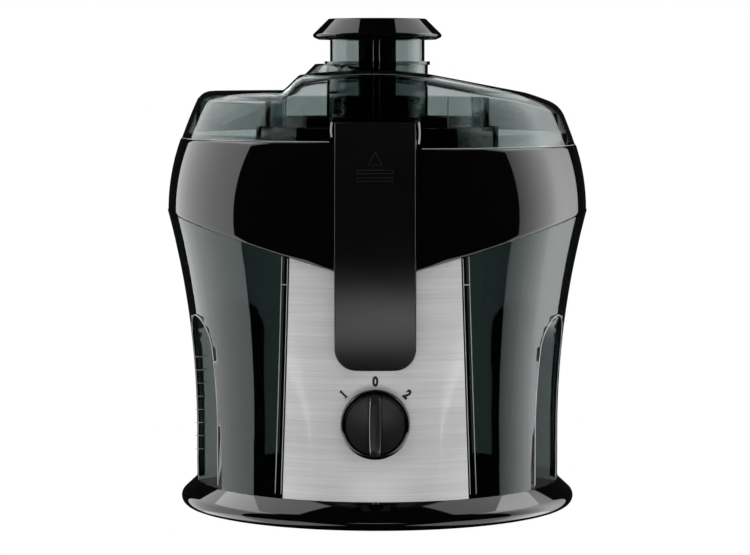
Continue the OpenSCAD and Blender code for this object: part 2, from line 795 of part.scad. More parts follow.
module feed_chute() color([0.42, 0.44, 0.42, 0.6]) {
    intersection() {
        tube(chute_out_r, chute_in_r, chute_foot_z, chute_z);
        crest_slope(0);
    }
    tube(chute_in_r, chute_in_r - 2, chute_foot_z, chute_foot_z + 1.5);
}

function lid_drum_r(z) = lid_arc_x + sqrt(lid_arc_r * lid_arc_r - pow(z - lid_arc_z, 2));

// ---- Pusher ----

pusher_foot_z = chute_foot_z + 1.5;
cap_z = pusher_top_z - cap_h;

module pusher_tube() color([0.42, 0.44, 0.42, 0.6]) difference() {
    translate([0, 0, pusher_foot_z]) cylinder(r = pusher_r, h = cap_z - pusher_foot_z);
    translate([0, 0, pusher_foot_z + wall]) cylinder(r = pusher_r - wall, h = far);
}

module pusher_cap() color([0.02, 0.02, 0.02]) rotate_extrude() polygon([
    [0, cap_z], [pusher_r, cap_z], [cap_r - 3, cap_z + 0.4], [cap_r - 0.8, cap_z + 1.5],
    [cap_r, cap_z + 2.8], [cap_r - 0.7, cap_z + 4.2], [cap_r - 9.2, cap_z + cap_h - 0.6],
    [cap_r - 10, cap_z + cap_h], [0, cap_z + cap_h]
]);

// ---- Locking arm ----

// the arm's front outline, drawn through along Y
module arm_front(inset) {
    half = arm_w / 2 - inset;
    along_y() {
        translate([-half, arm_z0 + arm_corner_r]) square([2 * half, arm_z1 - arm_z0 - arm_corner_r]);
        for (s = [-1, 1]) translate([s * (arm_w / 2 - arm_corner_r), arm_z0 + arm_corner_r])
            circle(r = arm_corner_r - inset);
        translate([-arm_w / 2 + arm_corner_r, arm_z0 + inset])
            square([arm_w - 2 * arm_corner_r, arm_corner_r]);
    }
}

module arm_sector(ro, ri) {
    along_x(2 * arm_w) intersection() {
        difference() {
            translate([arm_cy, arm_cz]) circle(r = ro, $fn = 360);
            translate([arm_cy, arm_cz]) circle(r = ri, $fn = 360);
        }
        translate([-far, arm_z0 - 10]) square([far - 60, arm_z1 - arm_z0 + 20]);
    }
}

module locking_arm() color([0.04, 0.04, 0.04]) difference() {
    union() {
        intersection() {
            arm_front(0);
            arm_sector(arm_r, arm_r - arm_skin);
        }
        difference() {
            intersection() {
                arm_front(0);
                arm_sector(arm_r, arm_in_r);
            }
            intersection() {
                arm_front(2.4);
                arm_sector(arm_r, arm_in_r - 5);
                box([-far, -far, 0], [far, far, arm_z1 - 2.4]);
            }
            // open foot, so the arm can turn
            box([-far, -far, 0], [far, far, pivot_z]);
        }
        intersection() {
            arm_front(0);
            for (s = [-1, 1]) translate([s * boss_x - boss_w / 2, pivot_y, pivot_z])
                rotate([0, 90, 0]) cylinder(r = 3.8, h = boss_w);
        }
    }
    translate([0, pivot_y, pivot_z]) rotate([0, 90, 0]) translate([0, 0, -far])
        cylinder(r = pin_r + run_gap, h = 2 * far);
}

// ---- Knob ----

knob_y0 = -flare_x(knob_z + knob_d / 2) - 0.4;

module speed_knob() color([0.02, 0.02, 0.02]) difference() {
    translate([0, 0, knob_z]) {
        rod_y(knob_d / 2, knob_y0 - 4, knob_y0);
        intersection() {
            rod_y(knob_d / 2, knob_y0 - knob_depth, knob_y0);
            for (s = [-1, 1]) translate([0, knob_y0, 0]) rotate([90, 0, 0]) linear_extrude(knob_depth)
                intersection() {
                    translate([-48 + 5.5, 0]) circle(r = 48);
                    translate([48 - 5.5, 0]) circle(r = 48);
                }
        }
    }
    translate([0, 0, knob_z]) rod_y(switch_shaft_r, knob_y0 - 8, knob_y0 + eps);
}

module switch_shaft() color([0.8, 0.8, 0.82])
    translate([0, 0, knob_z]) rod_y(switch_shaft_r, knob_y0 - 7.9, switch_back_y - 5);

// ---- Containers ----

// a finger recess, grown by g
module recess(g) {
    mid_y = spine_half + recess_w / 2;
    half = recess_w / 2 + g;
    difference() {
        for (s = [-1, 1]) along_x(2 * far) {
            translate([s * mid_y, recess_top - recess_w / 2]) circle(r = half);
            translate([s * mid_y - half, -eps]) square([2 * half, recess_top - recess_w / 2 + eps]);
        }
        cylinder(r = recess_r - g, h = far);
    }
}

module container_body(o) {
    intersection() {
        flare_body(o, base_h + (o > 0 ? clear_wall : 0), deck_z);
        difference() {
            box([-far, -far, 0], [far, far, 2 * far]);
            along_y() polygon([
                [-half_w(0) - container_gap - o, 0], [far, 0], [far, deck_z + eps],
                [-half_w(deck_z + eps) - container_gap - o, deck_z + eps]
            ]);
        }
    }
}

module container() difference() {
    intersection() {
        container_body(0);
        below_edge(container_gap);
    }
    difference() {
        container_body(clear_wall);
        recess(clear_wall);
    }
    recess(0);
}

module juice_jug() color([0.42, 0.44, 0.42, 0.6]) container();

module pulp_container() color([0.42, 0.44, 0.42, 0.6]) mirror([1, 0, 0]) container();

base_ring();
base_plate();
feet();
base_screws();
motor_housing();
front_panel();
rear_panel();
arm_hinge_pin();
stator();
field_coils();
stator_bolts();
upper_bracket();
lower_bracket();
upper_bearing();
lower_bearing();
brush_holders();
carbon_brushes();
motor_mounts();
motor_screws();
rotary_switch();
interlock_switch();
capacitor();
shaft_seal();
cord_gland();
motor_shaft();
armature();
commutator();
cooling_fan();
drive_coupling();
juice_bowl();
bowl_channel();
bowl_floor();
juice_wall();
basket_hub();
grater_disc();
filter_mesh();
basket_rim();
lid();
lid_channel();
feed_chute();
pusher_tube();
pusher_cap();
locking_arm();
speed_knob();
switch_shaft();
juice_jug();
pulp_container();
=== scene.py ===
"""Centrifugal juicer: the finished surfaces, the studio and the camera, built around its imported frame."""

import json
import math

import bmesh
import bpy
from mathutils import Matrix, Vector
from mathutils.bvhtree import BVHTree


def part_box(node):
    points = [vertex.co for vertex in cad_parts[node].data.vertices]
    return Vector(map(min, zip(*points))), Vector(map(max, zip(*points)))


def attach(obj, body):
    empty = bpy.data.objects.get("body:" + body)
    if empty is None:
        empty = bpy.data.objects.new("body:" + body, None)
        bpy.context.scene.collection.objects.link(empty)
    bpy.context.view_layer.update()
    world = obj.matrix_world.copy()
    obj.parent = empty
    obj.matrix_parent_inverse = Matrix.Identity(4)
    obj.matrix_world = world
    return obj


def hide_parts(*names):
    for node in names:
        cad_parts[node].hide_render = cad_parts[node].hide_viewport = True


bl_info = {
    "name": "Centrifugal juicer",
    "version": (1, 0, 0),
    "blender": (4, 5, 0),
    "location": "View3D > Sidebar > Juicer",
    "description": "Builds the juicer's finished surfaces, its studio and its camera",
    "category": "Add Mesh",
}

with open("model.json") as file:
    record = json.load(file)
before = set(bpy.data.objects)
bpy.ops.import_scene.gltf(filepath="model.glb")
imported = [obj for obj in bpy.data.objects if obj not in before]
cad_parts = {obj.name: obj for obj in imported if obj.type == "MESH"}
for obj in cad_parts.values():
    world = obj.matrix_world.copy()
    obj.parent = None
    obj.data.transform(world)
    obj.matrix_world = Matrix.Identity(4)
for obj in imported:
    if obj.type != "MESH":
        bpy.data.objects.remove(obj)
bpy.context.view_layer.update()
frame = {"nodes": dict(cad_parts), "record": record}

MM = 0.001

# The finger recesses, in mm: the spine's half width between them, their half width and their top.
SPINE_HALF, RECESS_HALF, RECESS_TOP = 20, 19, 121

# Material slots of the frame.
GLOSS, MATTE, SATIN, SMOKED = "black_gloss", "black_matte", "arm_satin", "smoked_clear"


def top(node):
    """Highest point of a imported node, in metres."""
    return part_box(node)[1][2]


def bottom(node):
    """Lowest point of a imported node, in metres."""
    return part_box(node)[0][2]


def half_x(node):
    """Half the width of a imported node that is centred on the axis, in metres."""
    low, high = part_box(node)
    return (high[0] - low[0]) / 2


# ---- Settings ----


def length(name, text, default):
    """A length property, in metres."""
    return bpy.props.FloatProperty(name=name, description=text, default=default, unit="LENGTH", precision=5)


def number(name, text, default):
    """A plain number property."""
    return bpy.props.FloatProperty(name=name, description=text, default=default)


def colour(name, text, default):
    """A linear colour property."""
    return bpy.props.FloatVectorProperty(
        name=name, description=text, default=default, subtype="COLOR", size=3, min=0, max=1
    )


class JuicerShape(bpy.types.PropertyGroup):
    """Sizes of the surfaces that are modelled over the frame."""

    waist: length("Waist radius", "Radius of the body below the waist", 111.4 * MM)
    waist_height: length("Waist height", "Height where the body starts to flare", 50 * MM)
    flare: length("Flare radius", "Radius of the body's flare", 520 * MM)
    bowl: length("Bowl radius", "Radius of the bowl's ball", half_x("juice_bowl"))
    bowl_middle: length("Bowl equator", "Height of the bowl's widest line", 183 * MM)
    bowl_wall: length("Bowl wall", "Thickness of the bowl's wall", 2.5 * MM)
    base_roll: length("Base roll", "Radius of the base's rolled edge", 5 * MM)
    flange_step: length("Flange step", "Height of the step in the containers' flanges", 144.5 * MM)
    pusher_core: length("Pusher core", "Radius of the pusher's dark core", 11.5 * MM)
    deck: length("Deck height", "Height of the bowl's floor", 184 * MM)
    edge_height: length("Edge height", "Height of the bowl's edge, carried on to the axis", 146.5 * MM)
    edge_slope: number("Edge slope", "Rise of the bowl's edge", 0.29)
    seam_right: length("Right seam", "Height of the seam on the pulp side", 223 * MM)
    lid_flat: length("Lid top", "Height of the flat part of the lid", 256 * MM)
    lid_shoulder: length("Lid shoulder", "Setback of the lid's shoulder", 7 * MM)
    lid_arc: length("Lid wall arc", "Radius of the lid's wall from the side", 300 * MM)
    lid_wall: length("Lid wall", "Thickness of the lid's wall", 2.2 * MM)
    chute: length("Chute radius", "Outer radius of the feed chute", 31.05 * MM)
    column: length("Column half width", "Half width of the front panel at its foot", 54.5 * MM)
    column_head: length("Column half width, top", "Half width of the front panel at its head", 49.5 * MM)
    arm_width: length("Arm width", "Width of the locking arm", 46 * MM)
    arm_radius: length("Arm radius", "Radius of the arm's bend", 210.3 * MM)
    arm_middle: length("Arm bend height", "Height of the centre of the arm's bend", 172 * MM)
    tick_length: length("Mark length", "Length of a graduation mark", 5.0 * MM)
    tick_step: length("Mark spacing", "Distance between graduation marks", 8.1 * MM)
    tick_count: bpy.props.IntProperty(name="Marks", description="Number of graduation marks", default=8)
    digit_height: length("Digit height", "Height of the numbers around the knob", 5.8 * MM)
    digit_radius: length("Digit radius", "Radius of the numbers' circle", 26.2 * MM)
    digit_drop: length("Digit drop", "Distance from the knob's centre down to the circle's", 1.4 * MM)


class JuicerFinish(bpy.types.PropertyGroup):
    """Colours of the finishes."""

    gloss: colour("Gloss black", "Polished black plastic", (0.0008, 0.0008, 0.0009))
    satin: colour("Satin black", "Plastic of the arm", (0.0022, 0.0022, 0.0024))
    knob: colour("Knob black", "Plastic of the knob's face", (0.009, 0.009, 0.009))
    matte: colour("Matte black", "Textured black plastic", (0.022, 0.022, 0.023))
    smoke: colour("Smoke colour", "Colour that the clear plastic lets through", (0.0, 0.11, 0.095))
    smoke_density: number("Lid smoke", "How fast the lid darkens, per metre", 200)
    deep_smoke_density: number("Container smoke", "How fast the containers darken, per metre", 900)
    pusher_smoke_density: number("Pusher smoke", "How fast the pusher darkens, per metre", 300)
    # Pale grey of the thin lines along edges: a painted highlight, standing for light caught by the polished
    # edges.
    painted_highlight_tint: colour("Edge tint", "Polished edges of the clear plastic", (0.42, 0.44, 0.44))
    steel: colour("Brushed steel", "Sheet steel of the front panel", (0.74, 0.74, 0.735))
    print_ink: colour("Printing ink", "Ink of the numbers", (0.01, 0.01, 0.01))
    # Pale line along the left edge of the knob's bar: a painted highlight.
    bar_highlight: colour("Bar edge", "Pale line along the knob's bar", (0.34, 0.34, 0.34))
    floor: colour("Floor", "Pale studio floor", (0.86, 0.86, 0.86))


def shape():
    return bpy.context.scene.juicer_shape


def finish():
    return bpy.context.scene.juicer_finish


# ---- Materials ----


def put(node, socket, value):
    """Sets a socket that has no link."""
    node.inputs[socket].default_value = value


def new_material(name):
    """A node material with its Principled shader; returns material, tree and shader."""
    material = bpy.data.materials.get(name) or bpy.data.materials.new(name)
    material.use_nodes = True
    tree = material.node_tree
    tree.nodes.clear()
    shader = tree.nodes.new("ShaderNodeBsdfPrincipled")
    output = tree.nodes.new("ShaderNodeOutputMaterial")
    tree.links.new(shader.outputs["BSDF"], output.inputs["Surface"])
    return material, tree, shader


def object_noise(tree, scale, detail=2.0, stretch=(1, 1, 1)):
    """A noise value on the object's own coordinates, stretched by its axes."""
    place = tree.nodes.new("ShaderNodeTexCoord")
    mapping = tree.nodes.new("ShaderNodeMapping")
    put(mapping, "Scale", stretch)
    noise = tree.nodes.new("ShaderNodeTexNoise")
    put(noise, "Scale", scale)
    put(noise, "Detail", detail)
    tree.links.new(place.outputs["Object"], mapping.inputs["Vector"])
    tree.links.new(mapping.outputs["Vector"], noise.inputs["Vector"])
    return noise.outputs["Fac"]


def spread(tree, source, low, high):
    """Maps a 0 to 1 value to low to high."""
    span = tree.nodes.new("ShaderNodeMapRange")
    put(span, "To Min", low)
    put(span, "To Max", high)
    tree.links.new(source, span.inputs["Value"])
    return span.outputs["Result"]


def tint(tree, source, dark, light):
    """Maps a 0 to 1 value between two colours."""
    ramp = tree.nodes.new("ShaderNodeValToRGB")
    ramp.color_ramp.elements[0].color = (*dark, 1)
    ramp.color_ramp.elements[0].position = 0.3
    ramp.color_ramp.elements[1].color = (*light, 1)
    ramp.color_ramp.elements[1].position = 0.7
    tree.links.new(source, ramp.inputs["Fac"])
    return ramp.outputs["Color"]


def surface(tree, shader, value, dark, light, low, high):
    """Drives the shader's colour and roughness by a 0 to 1 value."""
    tree.links.new(tint(tree, value, dark, light), shader.inputs["Base Color"])
    tree.links.new(spread(tree, value, low, high), shader.inputs["Roughness"])


def rough_surface(tree, shader, height, strength, distance, edge=0.0):
    """Bump on the shader's normal, over softly rounded edges."""
    bump = tree.nodes.new("ShaderNodeBump")
    put(bump, "Strength", strength)
    put(bump, "Distance", distance)
    tree.links.new(height, bump.inputs["Height"])
    if edge:
        rounded = tree.nodes.new("ShaderNodeBevel")
        rounded.samples = 6
        put(rounded, "Radius", edge)
        tree.links.new(rounded.outputs["Normal"], bump.inputs["Normal"])
    tree.links.new(bump.outputs["Normal"], shader.inputs["Normal"])


def scaled(rgb, factor):
    return tuple(min(1.0, part * factor) for part in rgb)


def gloss_plastic():
    material, tree, shader = new_material("polished_black")
    wear = object_noise(tree, 55, 4)
    put(shader, "IOR", 1.5)
    surface(tree, shader, wear, scaled(finish().gloss, 0.8), finish().gloss, 0.015, 0.05)
    rough_surface(tree, shader, wear, 0.02, 0.0002, 0.0006)
    return material


def textured_plastic(name, rgb, low, high, grain=900, strength=0.12, edge=0.0004):
    material, tree, shader = new_material(name)
    grains = object_noise(tree, grain, 3)
    patches = object_noise(tree, 30, 2)
    surface(tree, shader, patches, scaled(rgb, 0.85), scaled(rgb, 1.1), low, high)
    rough_surface(tree, shader, grains, strength, 0.0001, edge)
    return material


def smoked_plastic(name, rgb, density, shine=1.0):
    """Clear plastic that darkens with the way that light takes through it."""
    material, tree, shader = new_material(name)
    flow = object_noise(tree, 7, 2, (1, 1, 0.35))
    put(shader, "Transmission Weight", 1.0)
    put(shader, "IOR", 1.45)
    put(shader, "Specular Tint", (*scaled((0.86, 0.96, 0.95), shine), 1))
    surface(tree, shader, flow, (0.93, 0.95, 0.945), (0.97, 0.98, 0.98), 0.0, 0.015)
    smoke = tree.nodes.new("ShaderNodeVolumeAbsorption")
    put(smoke, "Color", (*rgb, 1))
    put(smoke, "Density", density)
    output = tree.nodes["Material Output"]
    tree.links.new(smoke.outputs["Volume"], output.inputs["Volume"])
    return material


def painted_highlight_edge():
    """Pale finish of the thin lines along edges: a painted highlight where light would catch a polished
    edge.
    """
    material, tree, shader = new_material("painted_highlight_edge")
    flow = object_noise(tree, 60, 2)
    rgb = finish().painted_highlight_tint
    put(shader, "Transmission Weight", 0.25)
    put(shader, "IOR", 1.49)
    surface(tree, shader, flow, scaled(rgb, 0.8), scaled(rgb, 1.1), 0.12, 0.22)
    return material


def brushed_steel():
    material, tree, shader = new_material("brushed_steel")
    lines = object_noise(tree, 1, 3, (14, 14, 1700))
    bands = object_noise(tree, 1, 3, (7, 7, 160))
    rgb = finish().steel
    put(shader, "Metallic", 0.45)
    put(shader, "Anisotropic", 0.6)
    blend = tree.nodes.new("ShaderNodeMath")
    blend.operation = "MULTIPLY_ADD"
    put(blend, 1, 0.6)
    tree.links.new(lines, blend.inputs[0])
    tree.links.new(spread(tree, bands, 0.0, 0.4), blend.inputs[2])
    surface(tree, shader, blend.outputs[0], scaled(rgb, 0.84), scaled(rgb, 1.1), 0.34, 0.46)
    rough_surface(tree, shader, lines, 0.25, 0.00006, 0.0003)
    return material


def bare_metal(name, rgb, low, high, grain=220):
    material, tree, shader = new_material(name)
    marks = object_noise(tree, grain, 3)
    put(shader, "Metallic", 1.0)
    surface(tree, shader, marks, scaled(rgb, 0.88), rgb, low, high)
    rough_surface(tree, shader, marks, 0.06, 0.0001, 0.0002)
    return material


def striped_metal(name, rgb, pitch):
    """Metal in layers along Z, as a lamination stack or a winding."""
    material, tree, shader = new_material(name)
    place = tree.nodes.new("ShaderNodeTexCoord")
    wave = tree.nodes.new("ShaderNodeTexWave")
    wave.bands_direction = "Z"
    put(wave, "Scale", 0.314 / pitch)
    tree.links.new(place.outputs["Object"], wave.inputs["Vector"])
    put(shader, "Metallic", 0.8)
    put(shader, "Roughness", 0.4)
    tree.links.new(tint(tree, wave.outputs["Fac"], scaled(rgb, 0.45), rgb), shader.inputs["Base Color"])
    rough_surface(tree, shader, wave.outputs["Fac"], 0.5, pitch / 3)
    return material


def sieve_metal():
    """Etched sieve sheet: rows of fine round holes."""
    material, tree, shader = new_material("sieve_sheet")
    place = tree.nodes.new("ShaderNodeTexCoord")
    cells = tree.nodes.new("ShaderNodeTexVoronoi")
    put(cells, "Scale", 620)
    put(cells, "Randomness", 0.15)
    tree.links.new(place.outputs["Object"], cells.inputs["Vector"])
    holes = tree.nodes.new("ShaderNodeMath")
    holes.operation = "GREATER_THAN"
    put(holes, 1, 0.3)
    tree.links.new(cells.outputs["Distance"], holes.inputs[0])
    put(shader, "Metallic", 1.0)
    put(shader, "Roughness", 0.3)
    sheet = tint(tree, holes.outputs[0], (0.02, 0.02, 0.02), (0.62, 0.62, 0.63))
    tree.links.new(sheet, shader.inputs["Base Color"])
    rough_surface(tree, shader, holes.outputs[0], 0.4, 0.0002)
    return material


def ink(name, rgb):
    material, tree, shader = new_material(name)
    speck = object_noise(tree, 2500, 2)
    surface(tree, shader, speck, scaled(rgb, 0.8), rgb, 0.4, 0.55)
    return material


def slot_materials():
    """One finish for each material slot of the frame."""
    return {
        GLOSS: gloss_plastic(),
        MATTE: textured_plastic("textured_black", finish().matte, 0.42, 0.6),
        SATIN: textured_plastic("satin_black", finish().satin, 0.26, 0.34, 1400, 0.05, 0.0006),
        SMOKED: smoked_plastic("smoked_clear", finish().smoke, finish().smoke_density, 0.3),
        "brushed_steel": brushed_steel(),
        "bright_steel": bare_metal("bright_steel", (0.72, 0.72, 0.73), 0.12, 0.22),
        "laminated_steel": striped_metal("laminated_steel", (0.33, 0.34, 0.36), 0.0009),
        "cast_aluminium": bare_metal("cast_aluminium", (0.6, 0.61, 0.63), 0.4, 0.55, 420),
        "copper_winding": striped_metal("copper_winding", (0.72, 0.33, 0.12), 0.0011),
        "brass": bare_metal("stamped_brass", (0.78, 0.6, 0.27), 0.22, 0.34),
        "rubber": textured_plastic("rubber", (0.035, 0.035, 0.036), 0.7, 0.85, 600, 0.2),
        "white_plastic": textured_plastic("moulded_white", (0.7, 0.69, 0.65), 0.35, 0.5),
        "carbon": textured_plastic("pressed_carbon", (0.05, 0.05, 0.055), 0.55, 0.7, 1500),
        "knob": textured_plastic("knob_black", finish().knob, 0.36, 0.46, 1400, 0.04),
        "yellow_film": textured_plastic("film_case", (0.72, 0.5, 0.08), 0.2, 0.3),
    }


# ---- Mesh tools ----


def add_object(name, mesh):
    """Links a mesh into the scene as an object at the origin."""
    piece = bpy.data.objects.new(name, mesh)
    bpy.context.scene.collection.objects.link(piece)
    return piece


def finish_bmesh(bm, name, smooth_angle=35, flip_check=True):
    """Turns a bmesh into a smooth-shaded object with its faces outwards."""
    bmesh.ops.remove_doubles(bm, verts=bm.verts, dist=1e-6)
    if flip_check:
        bmesh.ops.recalc_face_normals(bm, faces=bm.faces)
    mesh = bpy.data.meshes.new(name)
    bm.to_mesh(mesh)
    bm.free()
    mesh.shade_smooth()
    mesh.set_sharp_from_angle(angle=math.radians(smooth_angle))
    return add_object(name, mesh)


def lathe(name, profile, steps=160, closed=True, smooth_angle=35):
    """Turns a profile of (radius, height) points in mm about the Z axis."""
    bm = bmesh.new()
    points = [bm.verts.new((r * MM, 0, z * MM)) for r, z in profile]
    ring = list(zip(points, points[1:]))
    if closed:
        ring.append((points[-1], points[0]))
    edges = [bm.edges.new(pair) for pair in ring]
    bmesh.ops.spin(
        bm, geom=points + edges, cent=(0, 0, 0), axis=(0, 0, 1), angle=math.tau, steps=steps, use_merge=True
    )
    bmesh.ops.dissolve_degenerate(bm, dist=1e-7, edges=bm.edges)
    return finish_bmesh(bm, name, smooth_angle)


def arc(centre, radius, start, end, steps):
    """Points of an arc, angles in degrees."""
    turn = [math.radians(start + (end - start) * i / steps) for i in range(steps + 1)]
    return [(centre[0] + radius * math.cos(a), centre[1] + radius * math.sin(a)) for a in turn]


def swept(name, sections, smooth_angle=35):
    """A closed skin over a row of section loops in mm, with its two ends filled."""
    columns, rows = len(sections) - 1, len(sections[0])
    bm = bmesh.new()
    bmesh.ops.create_grid(bm, x_segments=columns, y_segments=rows, size=1)
    if len(bm.verts) != (columns + 1) * (rows + 1):
        raise RuntimeError("the grid of " + name + " has the wrong number of points")
    for vert in bm.verts:
        column = round((vert.co.x + 1) / 2 * columns)
        row = round((vert.co.y + 1) / 2 * rows) % rows
        vert.co = Vector(sections[column][row]) * MM
    bmesh.ops.remove_doubles(bm, verts=bm.verts, dist=1e-6)
    bmesh.ops.holes_fill(bm, edges=[edge for edge in bm.edges if edge.is_boundary], sides=0)
    return finish_bmesh(bm, name, smooth_angle)


def merged_copy(node, name, cut=None):
    """A merged, smooth-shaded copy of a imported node's mesh, closed off above a height in metres."""
    bm = bmesh.new()
    bm.from_mesh(frame["nodes"][node].data)
    bmesh.ops.remove_doubles(bm, verts=bm.verts, dist=1e-6)
    if cut is not None:
        everything = bm.verts[:] + bm.edges[:] + bm.faces[:]
        bmesh.ops.bisect_plane(
            bm, geom=everything, plane_co=(0, 0, cut), plane_no=(0, 0, 1), clear_outer=True
        )
        bmesh.ops.holes_fill(bm, edges=[edge for edge in bm.edges if edge.is_boundary], sides=0)
    bmesh.ops.dissolve_limit(bm, angle_limit=math.radians(0.2), verts=bm.verts, edges=bm.edges)
    return finish_bmesh(bm, name, 30, flip_check=False)


def bevel(piece, width, segments=3, angle=35):
    """Rounds a piece's sharp edges with a live modifier."""
    rounding = piece.modifiers.new("edges", "BEVEL")
    rounding.width = width
    rounding.segments = segments
    rounding.limit_method = "ANGLE"
    rounding.angle_limit = math.radians(angle)
    rounding.harden_normals = True


def dress(piece, body, slot, material, *nodes):
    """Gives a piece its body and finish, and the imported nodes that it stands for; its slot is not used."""
    piece.data.materials.clear()
    piece.data.materials.append(material)
    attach(piece, body)
    if nodes:
        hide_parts(*nodes)
    return piece


# ---- Pieces ----


class JUICER_OT_finishes(bpy.types.Operator):
    """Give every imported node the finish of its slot"""

    bl_idname = "juicer.finishes"
    bl_label = "Finishes"

    def execute(self, context):
        finishes = slot_materials()
        slots = {part["node"]: part["material_slot"] for part in frame["record"]["subparts"]}
        for node, solid in frame["nodes"].items():
            solid.data.materials.clear()
            solid.data.materials.append(finishes[slots[node]])
        frame["nodes"]["filter_mesh"].data.materials[0] = sieve_metal()
        smoked_plastic("deep_smoked_clear", finish().smoke, finish().deep_smoke_density)
        smoked_plastic("pusher_clear", finish().smoke, finish().pusher_smoke_density, 0.8)
        core = textured_plastic("core_black", finish().gloss, 0.5, 0.7)
        put(core.node_tree.nodes["Principled BSDF"], "Specular IOR Level", 0.05)
        # The pale finish of the thin edge lines: a painted highlight.
        painted_highlight_edge()
        ink("printing_ink", finish().print_ink)
        # Finish of the pale line along the knob's bar: a painted highlight.
        ink("bar_highlight_paint", finish().bar_highlight)
        return {"FINISHED"}


def material_of(name):
    return bpy.data.materials[name]


class JUICER_OT_base(bpy.types.Operator):
    """Build the rolled base"""

    bl_idname = "juicer.base"
    bl_label = "Base"

    def execute(self, context):
        low, high, rim = bottom("base_ring") / MM, top("base_ring") / MM, half_x("base_ring") / MM
        roll, waist = shape().base_roll / MM, shape().waist / MM
        deck_hole, sheet = 42, 2.5
        outline = [(rim - 10, low), (rim - roll, low)]
        outline += arc((rim - roll, low + roll), roll, -80, 47, 16)
        outline += [(waist + 0.5, high - 0.4), (waist, high), (deck_hole, high)]
        outline += [(deck_hole, high - sheet), (rim - 10, high - sheet)]
        piece = lathe("base_ring_rolled", outline, 220)
        dress(piece, "housing", GLOSS, material_of("polished_black"), "base_ring")
        return {"FINISHED"}


def body_radius(z):
    """Radius of the flared body at a height, in mm."""
    flare, rise = shape().flare / MM, z - shape().waist_height / MM
    return shape().waist / MM + (flare - math.sqrt(flare ** 2 - rise ** 2) if rise > 0 else 0)


def column_half(z):
    """Half the width of the front panel at a height, in mm."""
    foot, head = shape().column / MM, shape().column_head / MM
    return foot + (head - foot) * (z - 18) / 141


def bowl_edge(x):
    """Height of the bowl's slanted lower edge, in mm."""
    return shape().edge_height / MM + shape().edge_slope * max(abs(x), 10)


def raised_line(name, points, width, depth, smooth_angle=35):
    """A thin raised line along points in mm, each given with its outward direction."""
    sections = []
    for i, (point, outward) in enumerate(points):
        before, after = points[max(i - 1, 0)][0], points[min(i + 1, len(points) - 1)][0]
        along = (Vector(after) - Vector(before)).normalized()
        out = Vector(outward).normalized()
        side = along.cross(out).normalized() * width / 2
        base, crown = Vector(point) - out * depth, Vector(point) + out * depth
        sections.append([base - side, crown - side * 0.6, crown + side * 0.6, base + side])
    return swept(name, sections, smooth_angle)


def painted_highlight_line(name, points, width, depth, body, slot=SMOKED, smooth_angle=35):
    """A raised line along an edge, in the pale finish of a painted highlight."""
    line = raised_line(name, points, width, depth, smooth_angle)
    dress(line, body, slot, material_of("painted_highlight_edge"))


def on_front(x, radius, z):
    """A point on the front of an upright round wall, in mm, and its outward direction."""
    y = -math.sqrt(radius ** 2 - x ** 2)
    return (x, y, z), (x, y, 0)


class JUICER_OT_containers(bpy.types.Operator):
    """Build the two containers, painted highlight lines along their flanges beside the panel and round their
    finger recesses, and the jug's graduation
    """

    bl_idname = "juicer.containers"
    bl_label = "Containers"

    def execute(self, context):
        for node, side in (("juice_jug", -1), ("pulp_container", 1)):
            shell = merged_copy(node, node + "_shell")
            dress(shell, node, SMOKED, material_of("deep_smoked_clear"), node)
            for place, gap in (("inner", 1.1), ("outer", 4.6)):
                self.flange_highlight_line(node, side, place, gap)
            self.flange_step(node, side)
            for place, front in (("front", -1), ("rear", 1)):
                self.recess_highlight_line(node, side, place, front)
        self.marks()
        return {"FINISHED"}

    def on_body(self, side, z, gap):
        """A point on a container's front wall, a gap in mm away from the panel's edge."""
        return on_front(side * (column_half(z) + gap), body_radius(z), z)

    def flange_highlight_line(self, node, side, place, gap):
        """A painted highlight line along a flange, from the container's foot to just below the bowl."""
        foot, high = 20.5, bowl_edge(column_half(160) + gap) - 1.2
        heights = [foot + (high - foot) * i / 40 for i in range(41)]
        points = [self.on_body(side, z, gap) for z in heights]
        painted_highlight_line(f"{node}_flange_{place}", points, 0.55, 0.12, node)

    # A painted highlight line along the step in a flange.
    def flange_step(self, node, side):
        points = [self.on_body(side, shape().flange_step / MM, gap) for gap in (1.1, 2, 3, 4, 4.6)]
        painted_highlight_line(f"{node}_flange_step", points, 0.7, 0.12, node)

    def recess_highlight_line(self, node, side, place, front):
        """A painted highlight line along the edge around a finger recess."""
        half, near, high = RECESS_HALF, SPINE_HALF, RECESS_TOP - RECESS_HALF
        middle, foot, steps = near + half, 20, 20
        path = [(middle + half, foot + (high - foot) * i / steps) for i in range(steps)]
        path += arc((middle, high), half, 0, 180, 36)
        path += [(near, high - (high - foot) * i / steps) for i in range(1, steps + 1)]
        points = []
        for y, z in path:
            x = side * math.sqrt(body_radius(z) ** 2 - y ** 2)
            points.append(((x, front * y, z), (x, front * y, 0)))
        painted_highlight_line(f"{node}_recess_{place}", points, 0.9, 0.12, node, smooth_angle=50)

    def marks(self):
        """The jug's graduation, in a column from its lowest mark up. The marks are drawn as pale lines in
        the same finish as the painted highlight lines.
        """
        start, front, lowest = -111.3, -20.3, 37
        reach, step = shape().tick_length / MM, shape().tick_step / MM
        for i in range(shape().tick_count):
            z = lowest + step * i
            points = [((start + reach * t / 4, front, z), (0, -1, 0)) for t in range(5)]
            painted_highlight_line(f"jug_mark_{i + 1}", points, 0.35, 0.1, "juice_jug")


def bowl_radius(z, inset=0):
    """Radius of the bowl's ball at a height, in mm."""
    return math.sqrt((shape().bowl / MM - inset) ** 2 - (z - shape().bowl_middle / MM) ** 2)


